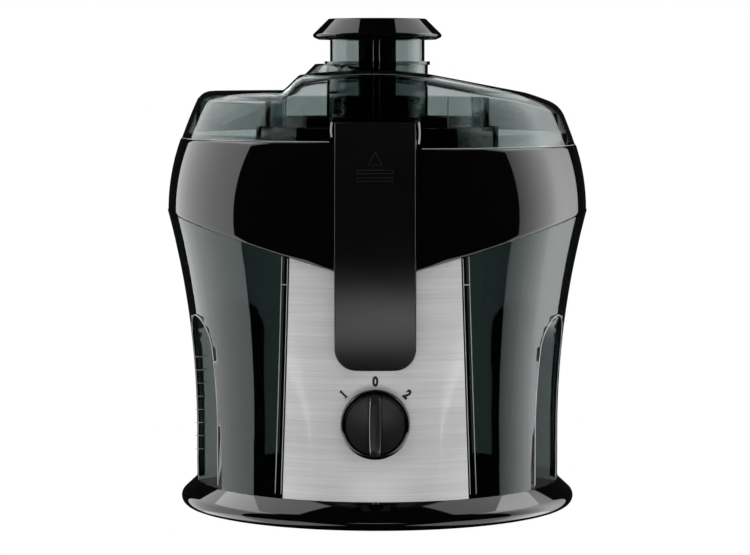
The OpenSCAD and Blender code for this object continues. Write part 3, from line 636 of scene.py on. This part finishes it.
class JUICER_OT_bowl(bpy.types.Operator):
    """Build the two halves of the bowl's outer ring"""

    bl_idname = "juicer.bowl"
    bl_label = "Bowl"

    def execute(self, context):
        seam_left = top("juice_bowl") / MM
        halves = (("bowl_ring_left", -1, seam_left), ("bowl_ring_right", 1, shape().seam_right / MM))
        for name, side, seam in halves:
            sections = [self.section(side, seam, i / 120) for i in range(121)]
            half = swept(name, sections, 30)
            dress(half, "bowl", GLOSS, material_of("polished_black"), "juice_bowl")
        channel = merged_copy("bowl_channel", "bowl_channel_walls")
        for vert in channel.data.vertices:
            reach = math.hypot(vert.co.x, vert.co.y)
            limit = bowl_radius(vert.co.z / MM, 1.2) * MM
            if reach > limit:
                vert.co.xy *= limit / reach
        dress(channel, "bowl", GLOSS, material_of("polished_black"), "bowl_channel")
        return {"FINISHED"}

    def section(self, side, seam, share):
        """The ring's closed section, from the arm's channel at share 0 to the back at share 1."""
        wall = shape().bowl_wall / MM
        notch = shape().arm_width / MM / 2 + 0.6
        deck = shape().deck / MM

        def at(radius, z):
            start = math.asin(notch / radius)
            turn = start + (math.pi - start) * share
            return (side * radius * math.sin(turn), -radius * math.cos(turn), z)

        low = seam - 60
        for _ in range(12):
            low = bowl_edge(at(bowl_radius(low), low)[0])
        rise = [low + 0.5 + (seam - 0.9 - low) * i / 28 for i in range(29)]
        points = [at(bowl_radius(low, 0.5), low), at(bowl_radius(low + 0.15, 0.15), low + 0.15)]
        points += [at(bowl_radius(z), z) for z in rise]
        points += [at(bowl_radius(seam, 0.15), seam - 0.12), at(bowl_radius(seam, 0.5), seam)]
        points += [at(bowl_radius(seam, wall), seam)]
        fall = [seam - 1 + (deck + 3 - seam + 1) * i / 8 for i in range(9)]
        points += [at(bowl_radius(z, wall), z) for z in fall]
        x, y, _ = at(bowl_radius(deck, wall), deck)
        # The ledge changes at the pulp opening.
        ledge = 116.4 if x > 72 and abs(y) < 48 else 108.7
        points += [at(ledge, deck + 3), at(ledge, deck)]
        under = (deck, (deck * 2 + low) / 3, (deck + low * 2) / 3, low)
        points += [at(bowl_radius(z, wall), z) for z in under]
        return points


class JUICER_OT_panel(bpy.types.Operator):
    """Build the front panel's sheet"""

    bl_idname = "juicer.panel"
    bl_label = "Front panel"

    def execute(self, context):
        sheet = merged_copy("front_panel", "front_panel_sheet")
        dress(sheet, "housing", "brushed_steel", material_of("brushed_steel"), "front_panel")
        return {"FINISHED"}


def lid_wall_radius(z):
    """Outer radius of the lid's wall at a height, in mm."""
    arc_radius, lean = shape().lid_arc / MM, math.atan(0.34)
    seam = shape().seam_right / MM
    centre_z = seam - arc_radius * math.sin(lean)
    centre_r = bowl_radius(seam) - 0.6 - arc_radius * math.cos(lean)
    return centre_r + math.sqrt(arc_radius ** 2 - (z - centre_z) ** 2)


def lid_top(x, radius):
    """Height of the lid's top over a point, in mm."""
    # The crest is an arc across the lid; 45 degree slopes fall from an apex on the axis.
    arc_radius, arc_x, arc_z, apex = 320, -2.5, -51.5, 310.5
    crest = arc_z + math.sqrt(arc_radius ** 2 - (x - arc_x) ** 2)
    ridge = crest if x > 0 else max(shape().lid_flat / MM, min(crest, apex + x))
    hump = apex - max(radius, 38)
    # The highest the top may reach: level on the left, lower on the right of the chute.
    chute, left, right, drop = shape().chute / MM, 272.5, 266.2, 6.3
    if x < -chute:
        slope = left
    elif x < chute:
        slope = left - drop * (x + chute) / (2 * chute)
    else:
        slope = right - 0.19 * (x - chute)
    return min(slope, max(ridge, hump))


class JUICER_OT_lid(bpy.types.Operator):
    """Build the lid with its chute, its inner wall and painted highlight lines along its edges"""

    bl_idname = "juicer.lid"
    bl_label = "Lid"

    def execute(self, context):
        clear = material_of("smoked_clear")
        seams = {-1: top("juice_bowl") / MM + 0.1, 1: shape().seam_right / MM + 0.1}
        notch = math.degrees(math.asin((shape().arm_width / MM / 2 + 3.1) / 118))
        turns = [(-180 + (180 - notch) * i / 84, seams[-1]) for i in range(85)]
        turns += [(-notch + 2 * notch * i / 12, 241.4) for i in range(13)]
        turns += [(notch + (180 - notch) * i / 84, seams[1]) for i in range(85)]
        sections = [self.section(math.radians(turn), seam) for turn, seam in turns]
        dress(swept("lid_shell", sections, 24), "lid", SMOKED, clear, "lid")
        walls = merged_copy("lid_channel", "lid_channel_walls", cut=0.2413)
        dress(walls, "lid", SMOKED, clear, "lid_channel")
        bore, chute = shape().chute / MM - 1.7, shape().chute / MM
        foot, rim, collar = 213, 274, chute + 1.3
        outline = [(bore - 2, foot), (chute, foot), (chute, 271.6), (collar, 272), (collar, rim)]
        outline += [(bore, rim), (bore, 214.5), (bore - 2, 214.5)]
        dress(lathe("feed_chute_turned", outline, 120, smooth_angle=40), "lid", SMOKED, clear, "feed_chute")
        self.ring("lid_lip", 13.6, [(114.4, 219), (116.5, 219), (116.5, 230), (114.4, 230)], clear)
        skirt = 68.8
        self.ring("lid_skirt", 0.0, [(67.0, 232), (skirt, 232), (skirt, 252.5), (67.0, 252.5)], clear)
        # Pale lines on the skirt, in the finish of a painted highlight.
        for i, x in enumerate((-67.8, -54.3, 42.5, 57.4, 62.8)):
            points = [on_front(x, skirt, z) for z in (232.2, 242, 252.2)]
            painted_highlight_line(f"lid_rib_{i + 1}", points, 0.7, 0.15, "lid")
        for name, side in (("left", -1), ("right", 1)):
            self.rear_wall(name, side)
            self.edges(name, side, seams[side], math.radians(notch))
        return {"FINISHED"}

    def edges(self, name, side, seam, notch):
        """The painted highlight lines along the lid's seam and beside the arm's channel."""
        radius, points = lid_wall_radius(seam), []
        for i in range(121):
            turn = notch + (math.pi - notch - 0.01) * i / 120
            out = (side * math.sin(turn), -math.cos(turn), 0)
            points.append(((out[0] * radius, out[1] * radius, seam + 0.25), out))
        painted_highlight_line(f"lid_edge_{name}", points, 0.45, 0.12, "lid")
        head, points = 238.5, []
        for i in range(13):
            x = side * (25.0 + 0.5 * math.sin(math.pi * i / 12))
            z = seam + 3 + (head - seam - 3) * i / 12
            points.append(on_front(x, lid_wall_radius(z), z))
        painted_highlight_line(f"lid_channel_edge_{name}", points, 1.3, 0.15, "lid")

    def section(self, turn, seam):
        """The lid's closed wall section at an angle from the front, from the chute out and down."""
        dx, dy = math.sin(turn), -math.cos(turn)
        corner = 118.0
        for _ in range(20):
            corner = lid_wall_radius(lid_top(corner * dx, corner))
        high, setback = lid_top(corner * dx, corner), shape().lid_shoulder / MM
        start = shape().chute / MM + 0.05
        outer = [start + (corner - setback - start) * i / 40 for i in range(41)]
        outer = [(r, lid_top(r * dx, r)) for r in outer]
        a, b, c = outer[-1], (corner, high), (lid_wall_radius(high - setback), high - setback)
        for i in range(1, 9):
            t = i / 8
            outer.append(tuple((1 - t) ** 2 * a[k] + 2 * t * (1 - t) * b[k] + t * t * c[k] for k in (0, 1)))
        outer += [(lid_wall_radius(z), z) for z in (c[1] + (seam - c[1]) * i / 10 for i in range(1, 11))]
        wall, inner = shape().lid_wall / MM, []
        for i, (r, z) in enumerate(outer):
            before, after = outer[max(i - 1, 0)], outer[min(i + 1, len(outer) - 1)]
            dr, dz = after[0] - before[0], after[1] - before[1]
            size = math.hypot(dr, dz)
            inner.append((r + dz / size * wall, z - dr / size * wall))
        inner[0] = (outer[0][0], inner[0][1])
        inner[-1] = (inner[-1][0], outer[-1][1])
        return [(r * dx, r * dy, z) for r, z in outer + inner[::-1]]

    def ring(self, name, gap, corners, clear):
        """A ring inside the lid, open by a gap in degrees on each side of the front."""
        sections = []
        for i in range(145):
            turn = math.radians(gap + (360 - 2 * gap) * i / 144)
            sections.append([(r * math.sin(turn), -r * math.cos(turn), z) for r, z in corners])
        dress(swept(name, sections, 40), "lid", SMOKED, clear)

    def rear_wall(self, name, side):
        """The dark splash wall inside the back of the lid."""
        sections = []
        for i in range(31):
            turn = math.radians(82 + 62 * i / 30)
            x, y = side * math.sin(turn), -math.cos(turn)
            high = min(252.5, lid_top(x * 112, 112) - 4.5)
            corners = ((110.2, 230.5), (111.7, 230.5), (110.2, high), (108.7, high))
            sections.append([(x * r, y * r, z) for r, z in corners])
        piece = swept(f"lid_rear_wall_{name}", sections, 40)
        dress(piece, "lid", SMOKED, material_of("deep_smoked_clear"))


class JUICER_OT_pusher(bpy.types.Operator):
    """Build the pusher's clear tube, its core and its cap"""

    bl_idname = "juicer.pusher"
    bl_label = "Pusher"

    def execute(self, context):
        high, z0 = top("pusher_cap") / MM, bottom("pusher_cap") / MM
        wide, tube = half_x("pusher_cap") / MM, half_x("pusher_tube") / MM
        foot = bottom("pusher_tube") / MM
        outline = [(0.01, z0), (tube, z0), (wide - 3.5, z0 + 0.3), (wide - 0.9, z0 + 1.4)]
        outline += [(wide - 0.2, z0 + 2.1), (wide, z0 + 2.8), (wide - 0.15, z0 + 3.4)]
        outline += [(wide - 0.7, z0 + 4.1), (wide - 9.0, high - 0.7), (wide - 9.4, high - 0.3)]
        outline += [(wide - 10.0, high), (0.01, high)]
        cap = lathe("pusher_cap_turned", outline, 140, closed=False, smooth_angle=40)
        dress(cap, "pusher", GLOSS, material_of("polished_black"), "pusher_cap")
        bore = tube - 2.5
        outline = [(0.01, foot), (tube - 0.8, foot), (tube, foot + 0.8), (tube, z0), (bore, z0)]
        outline += [(bore, foot + 3.3), (bore - 0.8, foot + 2.5), (0.01, foot + 2.5)]
        shell = lathe("pusher_tube_shell", outline, 140, closed=False, smooth_angle=40)
        dress(shell, "pusher", SMOKED, material_of("pusher_clear"), "pusher_tube")
        core, low, roof = shape().pusher_core / MM, foot + 3.2, z0 - 0.05
        outline = [(0.01, low), (core - 0.6, low), (core, foot + 3.8), (core, roof), (0.01, roof)]
        dress(lathe("pusher_core", outline, 64, closed=False), "pusher", GLOSS, material_of("core_black"))
        # Two pale lines down the clear tube: painted highlights.
        for name, x in (("left", -2.1), ("right", 1.6)):
            points = [on_front(x, tube, z) for z in (foot + 2, 240, z0 - 0.3)]
            painted_highlight_line(f"pusher_line_{name}", points, 0.5, 0.08, "pusher")
        return {"FINISHED"}


def arm_face(z, out=0.0):
    """A point of the arm's front face at a height, in mm, and its outward direction."""
    radius, middle = shape().arm_radius / MM, shape().arm_middle / MM
    centre = radius - shape().bowl / MM - 3.3
    y = centre - math.sqrt(radius ** 2 - (z - middle) ** 2)
    return y - out, (0, y - centre, z - middle)


class JUICER_OT_arm(bpy.types.Operator):
    """Build the locking arm and its engraved marks"""

    bl_idname = "juicer.arm"
    bl_label = "Locking arm"

    def execute(self, context):
        shell = merged_copy("locking_arm", "locking_arm_shell")
        bevel(shell, 0.0009, 3, 50)
        dress(shell, "arm", SATIN, material_of("satin_black"), "locking_arm")
        # Pale lines along the arm's side edges: painted highlights.
        half, foot, head = shape().arm_width / MM / 2 - 0.05, 109, 237.4
        for name, side in (("left", -1), ("right", 1)):
            points = []
            for t in range(41):
                z = foot + (head - foot) * t / 40
                points.append(((side * half, arm_face(z, -0.75)[0], z), (side, 0, 0)))
            painted_highlight_line(f"arm_edge_{name}", points, 0.9, 0.12, "arm", SATIN)
        self.engrave("triangle", [(0, 221.5), (4.0, 214.3), (-4.0, 214.3)])
        wide = 10.2
        for name, low in (("upper", 209.6), ("lower", 205.2)):
            self.engrave(f"slot_{name}", [(-wide, low), (wide, low), (wide, low + 2), (-wide, low + 2)])
        return {"FINISHED"}

    def engrave(self, name, corners):
        """A thin outline sunk into the arm's face, drawn through corners (x, z)."""
        for i, (x0, z0) in enumerate(corners):
            x1, z1 = corners[(i + 1) % len(corners)]
            points = []
            for t in range(9):
                x, z = x0 + (x1 - x0) * t / 8, z0 + (z1 - z0) * t / 8
                y, out = arm_face(z, -0.02)
                points.append(((x, y, z), out))
            line = raised_line(f"arm_{name}_{i + 1}", points, 0.3, 0.05)
            dress(line, "arm", SATIN, material_of("textured_black"))


def panel_front(x, z):
    """The front panel's surface at x and z in metres: its y and its outward direction."""
    bm = bmesh.new()
    bm.from_mesh(frame["nodes"]["front_panel"].data)
    place, normal, _, _ = BVHTree.FromBMesh(bm).ray_cast(Vector((x, -1, z)), Vector((0, 1, 0)))
    bm.free()
    if place is None:
        raise RuntimeError("the front panel has no surface where a number goes")
    return place.y, normal


class JUICER_OT_knob(bpy.types.Operator):
    """Build the knob and the numbers around it"""

    bl_idname = "juicer.knob"
    bl_label = "Knob and numbers"

    def execute(self, context):
        low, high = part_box("speed_knob")
        centre, back, front = (low[2] + high[2]) / 2 / MM, high[1] / MM, low[1] / MM
        rim = (high[0] - low[0]) / 2 / MM
        self.bezel(rim, back, front, centre)
        self.grip(rim, back, front, centre)
        self.numbers(context, centre)
        return {"FINISHED"}

    def turned(self, name, outline, back, centre, slot, material, *nodes):
        """A piece of the knob, turned about its own axis from (radius, depth) points."""
        piece = lathe(name, outline, 120, closed=False)
        stand = Matrix.Translation((0, back * MM, centre * MM)) @ Matrix.Rotation(-math.pi / 2, 4, "X")
        piece.data.transform(stand)
        dress(piece, "knob", slot, material, *nodes)

    def bezel(self, rim, back, front, centre):
        """The turned body of the knob, with its sunken face."""
        face = (front - back) * 0.62
        outline = [(0.01, 0), (rim - 0.4, 0), (rim, -0.4), (rim, face + 1.9), (rim - 0.3, face + 1.2)]
        outline += [(rim - 1.9, face + 0.05), (rim - 2.2, face), (rim - 2.5, face + 0.2)]
        outline += [(rim - 2.6, face + 1.2), (0.01, face + 1.2)]
        self.turned("knob_turned", outline, back, centre, GLOSS, material_of("polished_black"), "speed_knob")
        outline = [(0.01, face + 1.15), (rim - 3.1, face + 1.15), (rim - 3.0, face + 0.9)]
        outline += [(rim - 3.3, face + 0.62), (rim - 3.7, face + 0.75), (rim - 4.0, face + 0.9)]
        outline += [(0.01, face + 0.9)]
        self.turned("knob_face", outline, back, centre, GLOSS, material_of("knob_black"))

    def grip(self, rim, back, front, centre):
        """The raised bar across the knob, and the line that points to a number."""
        face = back + (front - back) * 0.5
        reach = rim - 2.0
        sections = []
        for i in range(25):
            z = -reach + 2 * reach * i / 24
            half = 2.7 + 1.0 * math.sqrt(max(0, 1 - (z / reach) ** 2))
            tip = max(0.0, 1 - ((abs(z) / reach) ** 14))
            depth = front + 0.1 + (face - front) * (1 - tip) * 0.9
            loop = [(-half, face), (-half, depth + 1.5), (-half + 0.25, depth + 0.7)]
            loop += [(-half + 0.8, depth + 0.15), (-half + 1.3, depth), (half - 1.0, depth + 0.25)]
            loop += [(half - 0.3, depth + 0.9), (half, face)]
            sections.append([(x, y, centre + z) for x, y in loop])
        dress(swept("knob_grip", sections, 50), "knob", GLOSS, material_of("knob_black"))
        points = [((0.6, front + 0.22, centre + z), (0, -1, 0)) for z in (4.6, 8, 11, 13.4)]
        dress(raised_line("knob_pointer", points, 0.6, 0.06), "knob", GLOSS, material_of("printing_ink"))
        # A pale line along the bar's left edge: a painted highlight.
        points = []
        for i in range(25):
            z = (reach - 3.5) * (i / 12 - 1)
            half = 2.7 + 1.0 * math.sqrt(1 - (z / reach) ** 2)
            points.append(((-half + 0.6, front + 0.45, centre + z), (-1, -1, 0)))
        dress(raised_line("knob_bar_edge", points, 0.5, 0.06), "knob", GLOSS, material_of("bar_highlight_paint"))

    def numbers(self, context, centre):
        """The printed numbers, laid on the panel."""
        lettering = material_of("printing_ink")
        size, radius = shape().digit_height, shape().digit_radius
        for text, turn in (("0", 0), ("1", 45), ("2", -45)):
            angle = math.radians(turn)
            x, z = -radius * math.sin(angle), centre * MM - shape().digit_drop + radius * math.cos(angle)
            y, out = panel_front(x, z)
            facing = out.to_track_quat("Z", "Y").to_matrix().to_4x4()
            stand = Matrix.Translation(Vector((x, y, z)) + out * 0.0001) @ facing
            mesh = self.one() if text == "1" else self.typed(context, text, size)
            corners = [vert.co for vert in mesh.vertices]
            middle = [(min(c[k] for c in corners) + max(c[k] for c in corners)) / 2 for k in (0, 1)]
            mesh.transform(Matrix.Translation((-middle[0], -middle[1], 0)))
            mesh.transform(stand @ Matrix.Rotation(angle, 4, "Z"))
            dress(add_object(f"number_{text}", mesh), "housing", "brushed_steel", lettering)

    def typed(self, context, text, size):
        """A number set in the plain built-in type, made bolder and narrower."""
        curve = bpy.data.curves.new(f"number_{text}", "FONT")
        curve.body = text
        curve.size = size * 1.3
        curve.extrude = 0.00004
        curve.offset = 0.00045
        holder = add_object(f"number_{text}_text", curve)
        context.view_layer.update()
        mesh = bpy.data.meshes.new_from_object(holder.evaluated_get(context.evaluated_depsgraph_get()))
        bpy.data.objects.remove(holder)
        mesh.transform(Matrix.Diagonal((0.82, 1, 1, 1)))
        return mesh

    def one(self):
        """The number one, with its flag and foot."""
        outline = [(-1.3, -2.8), (1.3, -2.8), (1.3, -2.4), (0.65, -2.2), (0.65, 2.8), (0.2, 2.8)]
        outline += [(-1.25, 2.15), (-1.15, 1.7), (-0.55, 1.9), (-0.55, -2.2), (-1.3, -2.4)]
        bm = bmesh.new()
        face = bm.faces.new([bm.verts.new((x * MM, y * MM, -0.04 * MM)) for x, y in outline])
        raised = bmesh.ops.extrude_face_region(bm, geom=[face])["geom"]
        moved = [item for item in raised if isinstance(item, bmesh.types.BMVert)]
        bmesh.ops.translate(bm, verts=moved, vec=(0, 0, 0.08 * MM))
        bmesh.ops.recalc_face_normals(bm, faces=bm.faces)
        mesh = bpy.data.meshes.new("number_1")
        bm.to_mesh(mesh)
        bm.free()
        return mesh


# ---- Studio ----


def softbox(name, centre, towards, up, size, radiance, glossy=True, diffuse=True):
    """A rectangular light of a given brightness, which faces a direction."""
    lamp = bpy.data.lights.new(name, "AREA")
    lamp.shape = "RECTANGLE"
    lamp.size, lamp.size_y = size
    lamp.energy = radiance * 4 * size[0] * size[1]
    light = bpy.data.objects.new(name, lamp)
    back = -Vector(towards).normalized()
    across = Vector(up).cross(back).normalized()
    turn = Matrix((across, back.cross(across), back)).transposed()
    light.matrix_world = Matrix.Translation(centre) @ turn.to_4x4()
    light.visible_glossy = light.visible_transmission = glossy
    light.visible_diffuse = diffuse
    bpy.context.scene.collection.objects.link(light)
    return light


def seen_through(tree, diffuse, bright, glossy):
    """A strength that is bright to the camera, also through clear parts, and dimmer to other light."""
    path = tree.nodes.new("ShaderNodeLightPath")
    either, reflected, direct = (tree.nodes.new("ShaderNodeMath") for _ in range(3))
    either.operation, reflected.operation, direct.operation = "MAXIMUM", "GREATER_THAN", "SUBTRACT"
    tree.links.new(path.outputs["Is Camera Ray"], either.inputs[0])
    tree.links.new(path.outputs["Is Transmission Ray"], either.inputs[1])
    put(reflected, 1, 0.5)
    tree.links.new(path.outputs["Glossy Depth"], reflected.inputs[0])
    direct.use_clamp = True
    tree.links.new(either.outputs[0], direct.inputs[0])
    tree.links.new(reflected.outputs[0], direct.inputs[1])
    strength = tree.nodes.new("ShaderNodeMapRange")
    tree.links.new(direct.outputs[0], strength.inputs["Value"])
    tree.links.new(spread(tree, reflected.outputs[0], diffuse, glossy), strength.inputs["To Min"])
    put(strength, "To Max", bright)
    return strength.outputs["Result"]


class JUICER_OT_studio(bpy.types.Operator):
    """Build the floor, the lights, the world and the camera"""

    bl_idname = "juicer.studio"
    bl_label = "Studio"

    def execute(self, context):
        scene = context.scene
        scene.view_settings.view_transform = "Standard"
        self.floor()
        self.world(scene)
        for name, side, beside, above in (("left", -1, 5.4, 1.6), ("right", 1, 2.8, 1.35)):
            self.side_box(f"{name}_box", side, beside)
            roof, low = (0.93 * side, 0.6, 1.25), (0.235 * side, -0.152, -0.06)
            softbox(f"{name}_roof", roof, (0, 0, -1), (0, 1, 0), (1.2, 1.4), above, diffuse=False)
            up = (side * 0.84, -0.54, 0)
            softbox(f"{name}_low", low, (0, 0, 1), up, (0.28, 0.28), 1.7, diffuse=False)
        softbox("arm_low", (0, -0.4, -0.02), (0, 0, 1), (0, 1, 0), (0.14, 0.24), 2.0, diffuse=False)
        softbox("front_top", (0, -1.3, 1.9), (0, 1.3, -1.75), (0, 0, 1), (1.6, 0.8), 4.2, glossy=False)
        self.camera(scene)
        return {"FINISHED"}

    def side_box(self, name, side, radiance):
        """A tall light beside the object, brightest along its middle."""
        lamp = softbox(name, (0.95 * side, 0.46, 0.15), (-side, 0, 0), (0, -0.045, 1), (1.3, 2.1), 1.0).data
        lamp.use_nodes = True
        tree = lamp.node_tree
        glow = tree.nodes["Emission"]
        place = tree.nodes.new("ShaderNodeNewGeometry")
        split = tree.nodes.new("ShaderNodeSeparateXYZ")
        ramp = tree.nodes.new("ShaderNodeValToRGB")
        tree.links.new(place.outputs["Parametric"], split.inputs[0])
        tree.links.new(split.outputs["X"], ramp.inputs["Fac"])
        tree.links.new(ramp.outputs["Color"], glow.inputs["Color"])
        bands = ((0.0, 0.3), (0.22, 0.72), (0.42, 1.0), (0.7, 0.6), (1.0, 0.35))
        stops = ramp.color_ramp.elements
        while len(stops) < len(bands):
            stops.new(0.5)
        for stop, (place_at, level) in zip(stops, bands):
            stop.position = place_at if side > 0 else 1 - place_at
            stop.color = (level, level, level, 1)
        put(glow, "Strength", radiance)

    def floor(self):
        bm = bmesh.new()
        bmesh.ops.create_grid(bm, x_segments=1, y_segments=1, size=6)
        floor = finish_bmesh(bm, "floor", flip_check=False)
        material, tree, shader = new_material("pale_floor")
        put(shader, "Base Color", (*finish().floor, 1))
        put(shader, "Roughness", 0.9)
        glow = tree.nodes.new("ShaderNodeEmission")
        put(glow, "Strength", 1.0)
        put(glow, "Color", (1, 1, 1, 1))
        mix = tree.nodes.new("ShaderNodeMixShader")
        output = tree.nodes["Material Output"]
        tree.links.new(seen_through(tree, 0.0, 1.0, 0.0), mix.inputs[0])
        tree.links.new(shader.outputs["BSDF"], mix.inputs[1])
        tree.links.new(glow.outputs[0], mix.inputs[2])
        tree.links.new(mix.outputs[0], output.inputs["Surface"])
        floor.data.materials.append(material)
        floor.visible_glossy = False

    def world(self, scene):
        world = bpy.data.worlds.new("studio")
        world.use_nodes = True
        tree = world.node_tree
        background = tree.nodes["Background"]
        put(background, "Color", (1, 1, 1, 1))
        tree.links.new(seen_through(tree, 0.62, 1.0, 0.01), background.inputs["Strength"])
        scene.world = world

    def camera(self, scene):
        lens = bpy.data.cameras.new("camera")
        lens.sensor_width = 36
        lens.lens = 134.7
        camera = bpy.data.objects.new("camera", lens)
        camera.location = (0.0173, -1.728, 0.266)
        camera.rotation_euler = (math.radians(90 - 4.14), 0, math.radians(0.62))
        scene.collection.objects.link(camera)
        scene.camera = camera


STEPS = (
    JUICER_OT_finishes,
    JUICER_OT_base,
    JUICER_OT_containers,
    JUICER_OT_bowl,
    JUICER_OT_panel,
    JUICER_OT_lid,
    JUICER_OT_pusher,
    JUICER_OT_arm,
    JUICER_OT_knob,
    JUICER_OT_studio,
)


class JUICER_PT_panel(bpy.types.Panel):
    """Sizes, colours and building steps of the juicer"""

    bl_idname = "JUICER_PT_panel"
    bl_label = "Juicer"
    bl_space_type = "VIEW_3D"
    bl_region_type = "UI"
    bl_category = "Juicer"

    def draw(self, context):
        for group in (context.scene.juicer_shape, context.scene.juicer_finish):
            for name in group.__annotations__:
                self.layout.prop(group, name)
        for step in STEPS:
            self.layout.operator(step.bl_idname)


CLASSES = (JuicerShape, JuicerFinish, *STEPS, JUICER_PT_panel)


def register():
    for item in CLASSES:
        bpy.utils.register_class(item)
    bpy.types.Scene.juicer_shape = bpy.props.PointerProperty(type=JuicerShape)
    bpy.types.Scene.juicer_finish = bpy.props.PointerProperty(type=JuicerFinish)


def unregister():
    del bpy.types.Scene.juicer_finish
    del bpy.types.Scene.juicer_shape
    for item in reversed(CLASSES):
        bpy.utils.unregister_class(item)


def main():
    register()
    for step in STEPS:
        group, name = step.bl_idname.split(".")
        getattr(getattr(bpy.ops, group), name)()


if __name__ == "__main__":
    main()
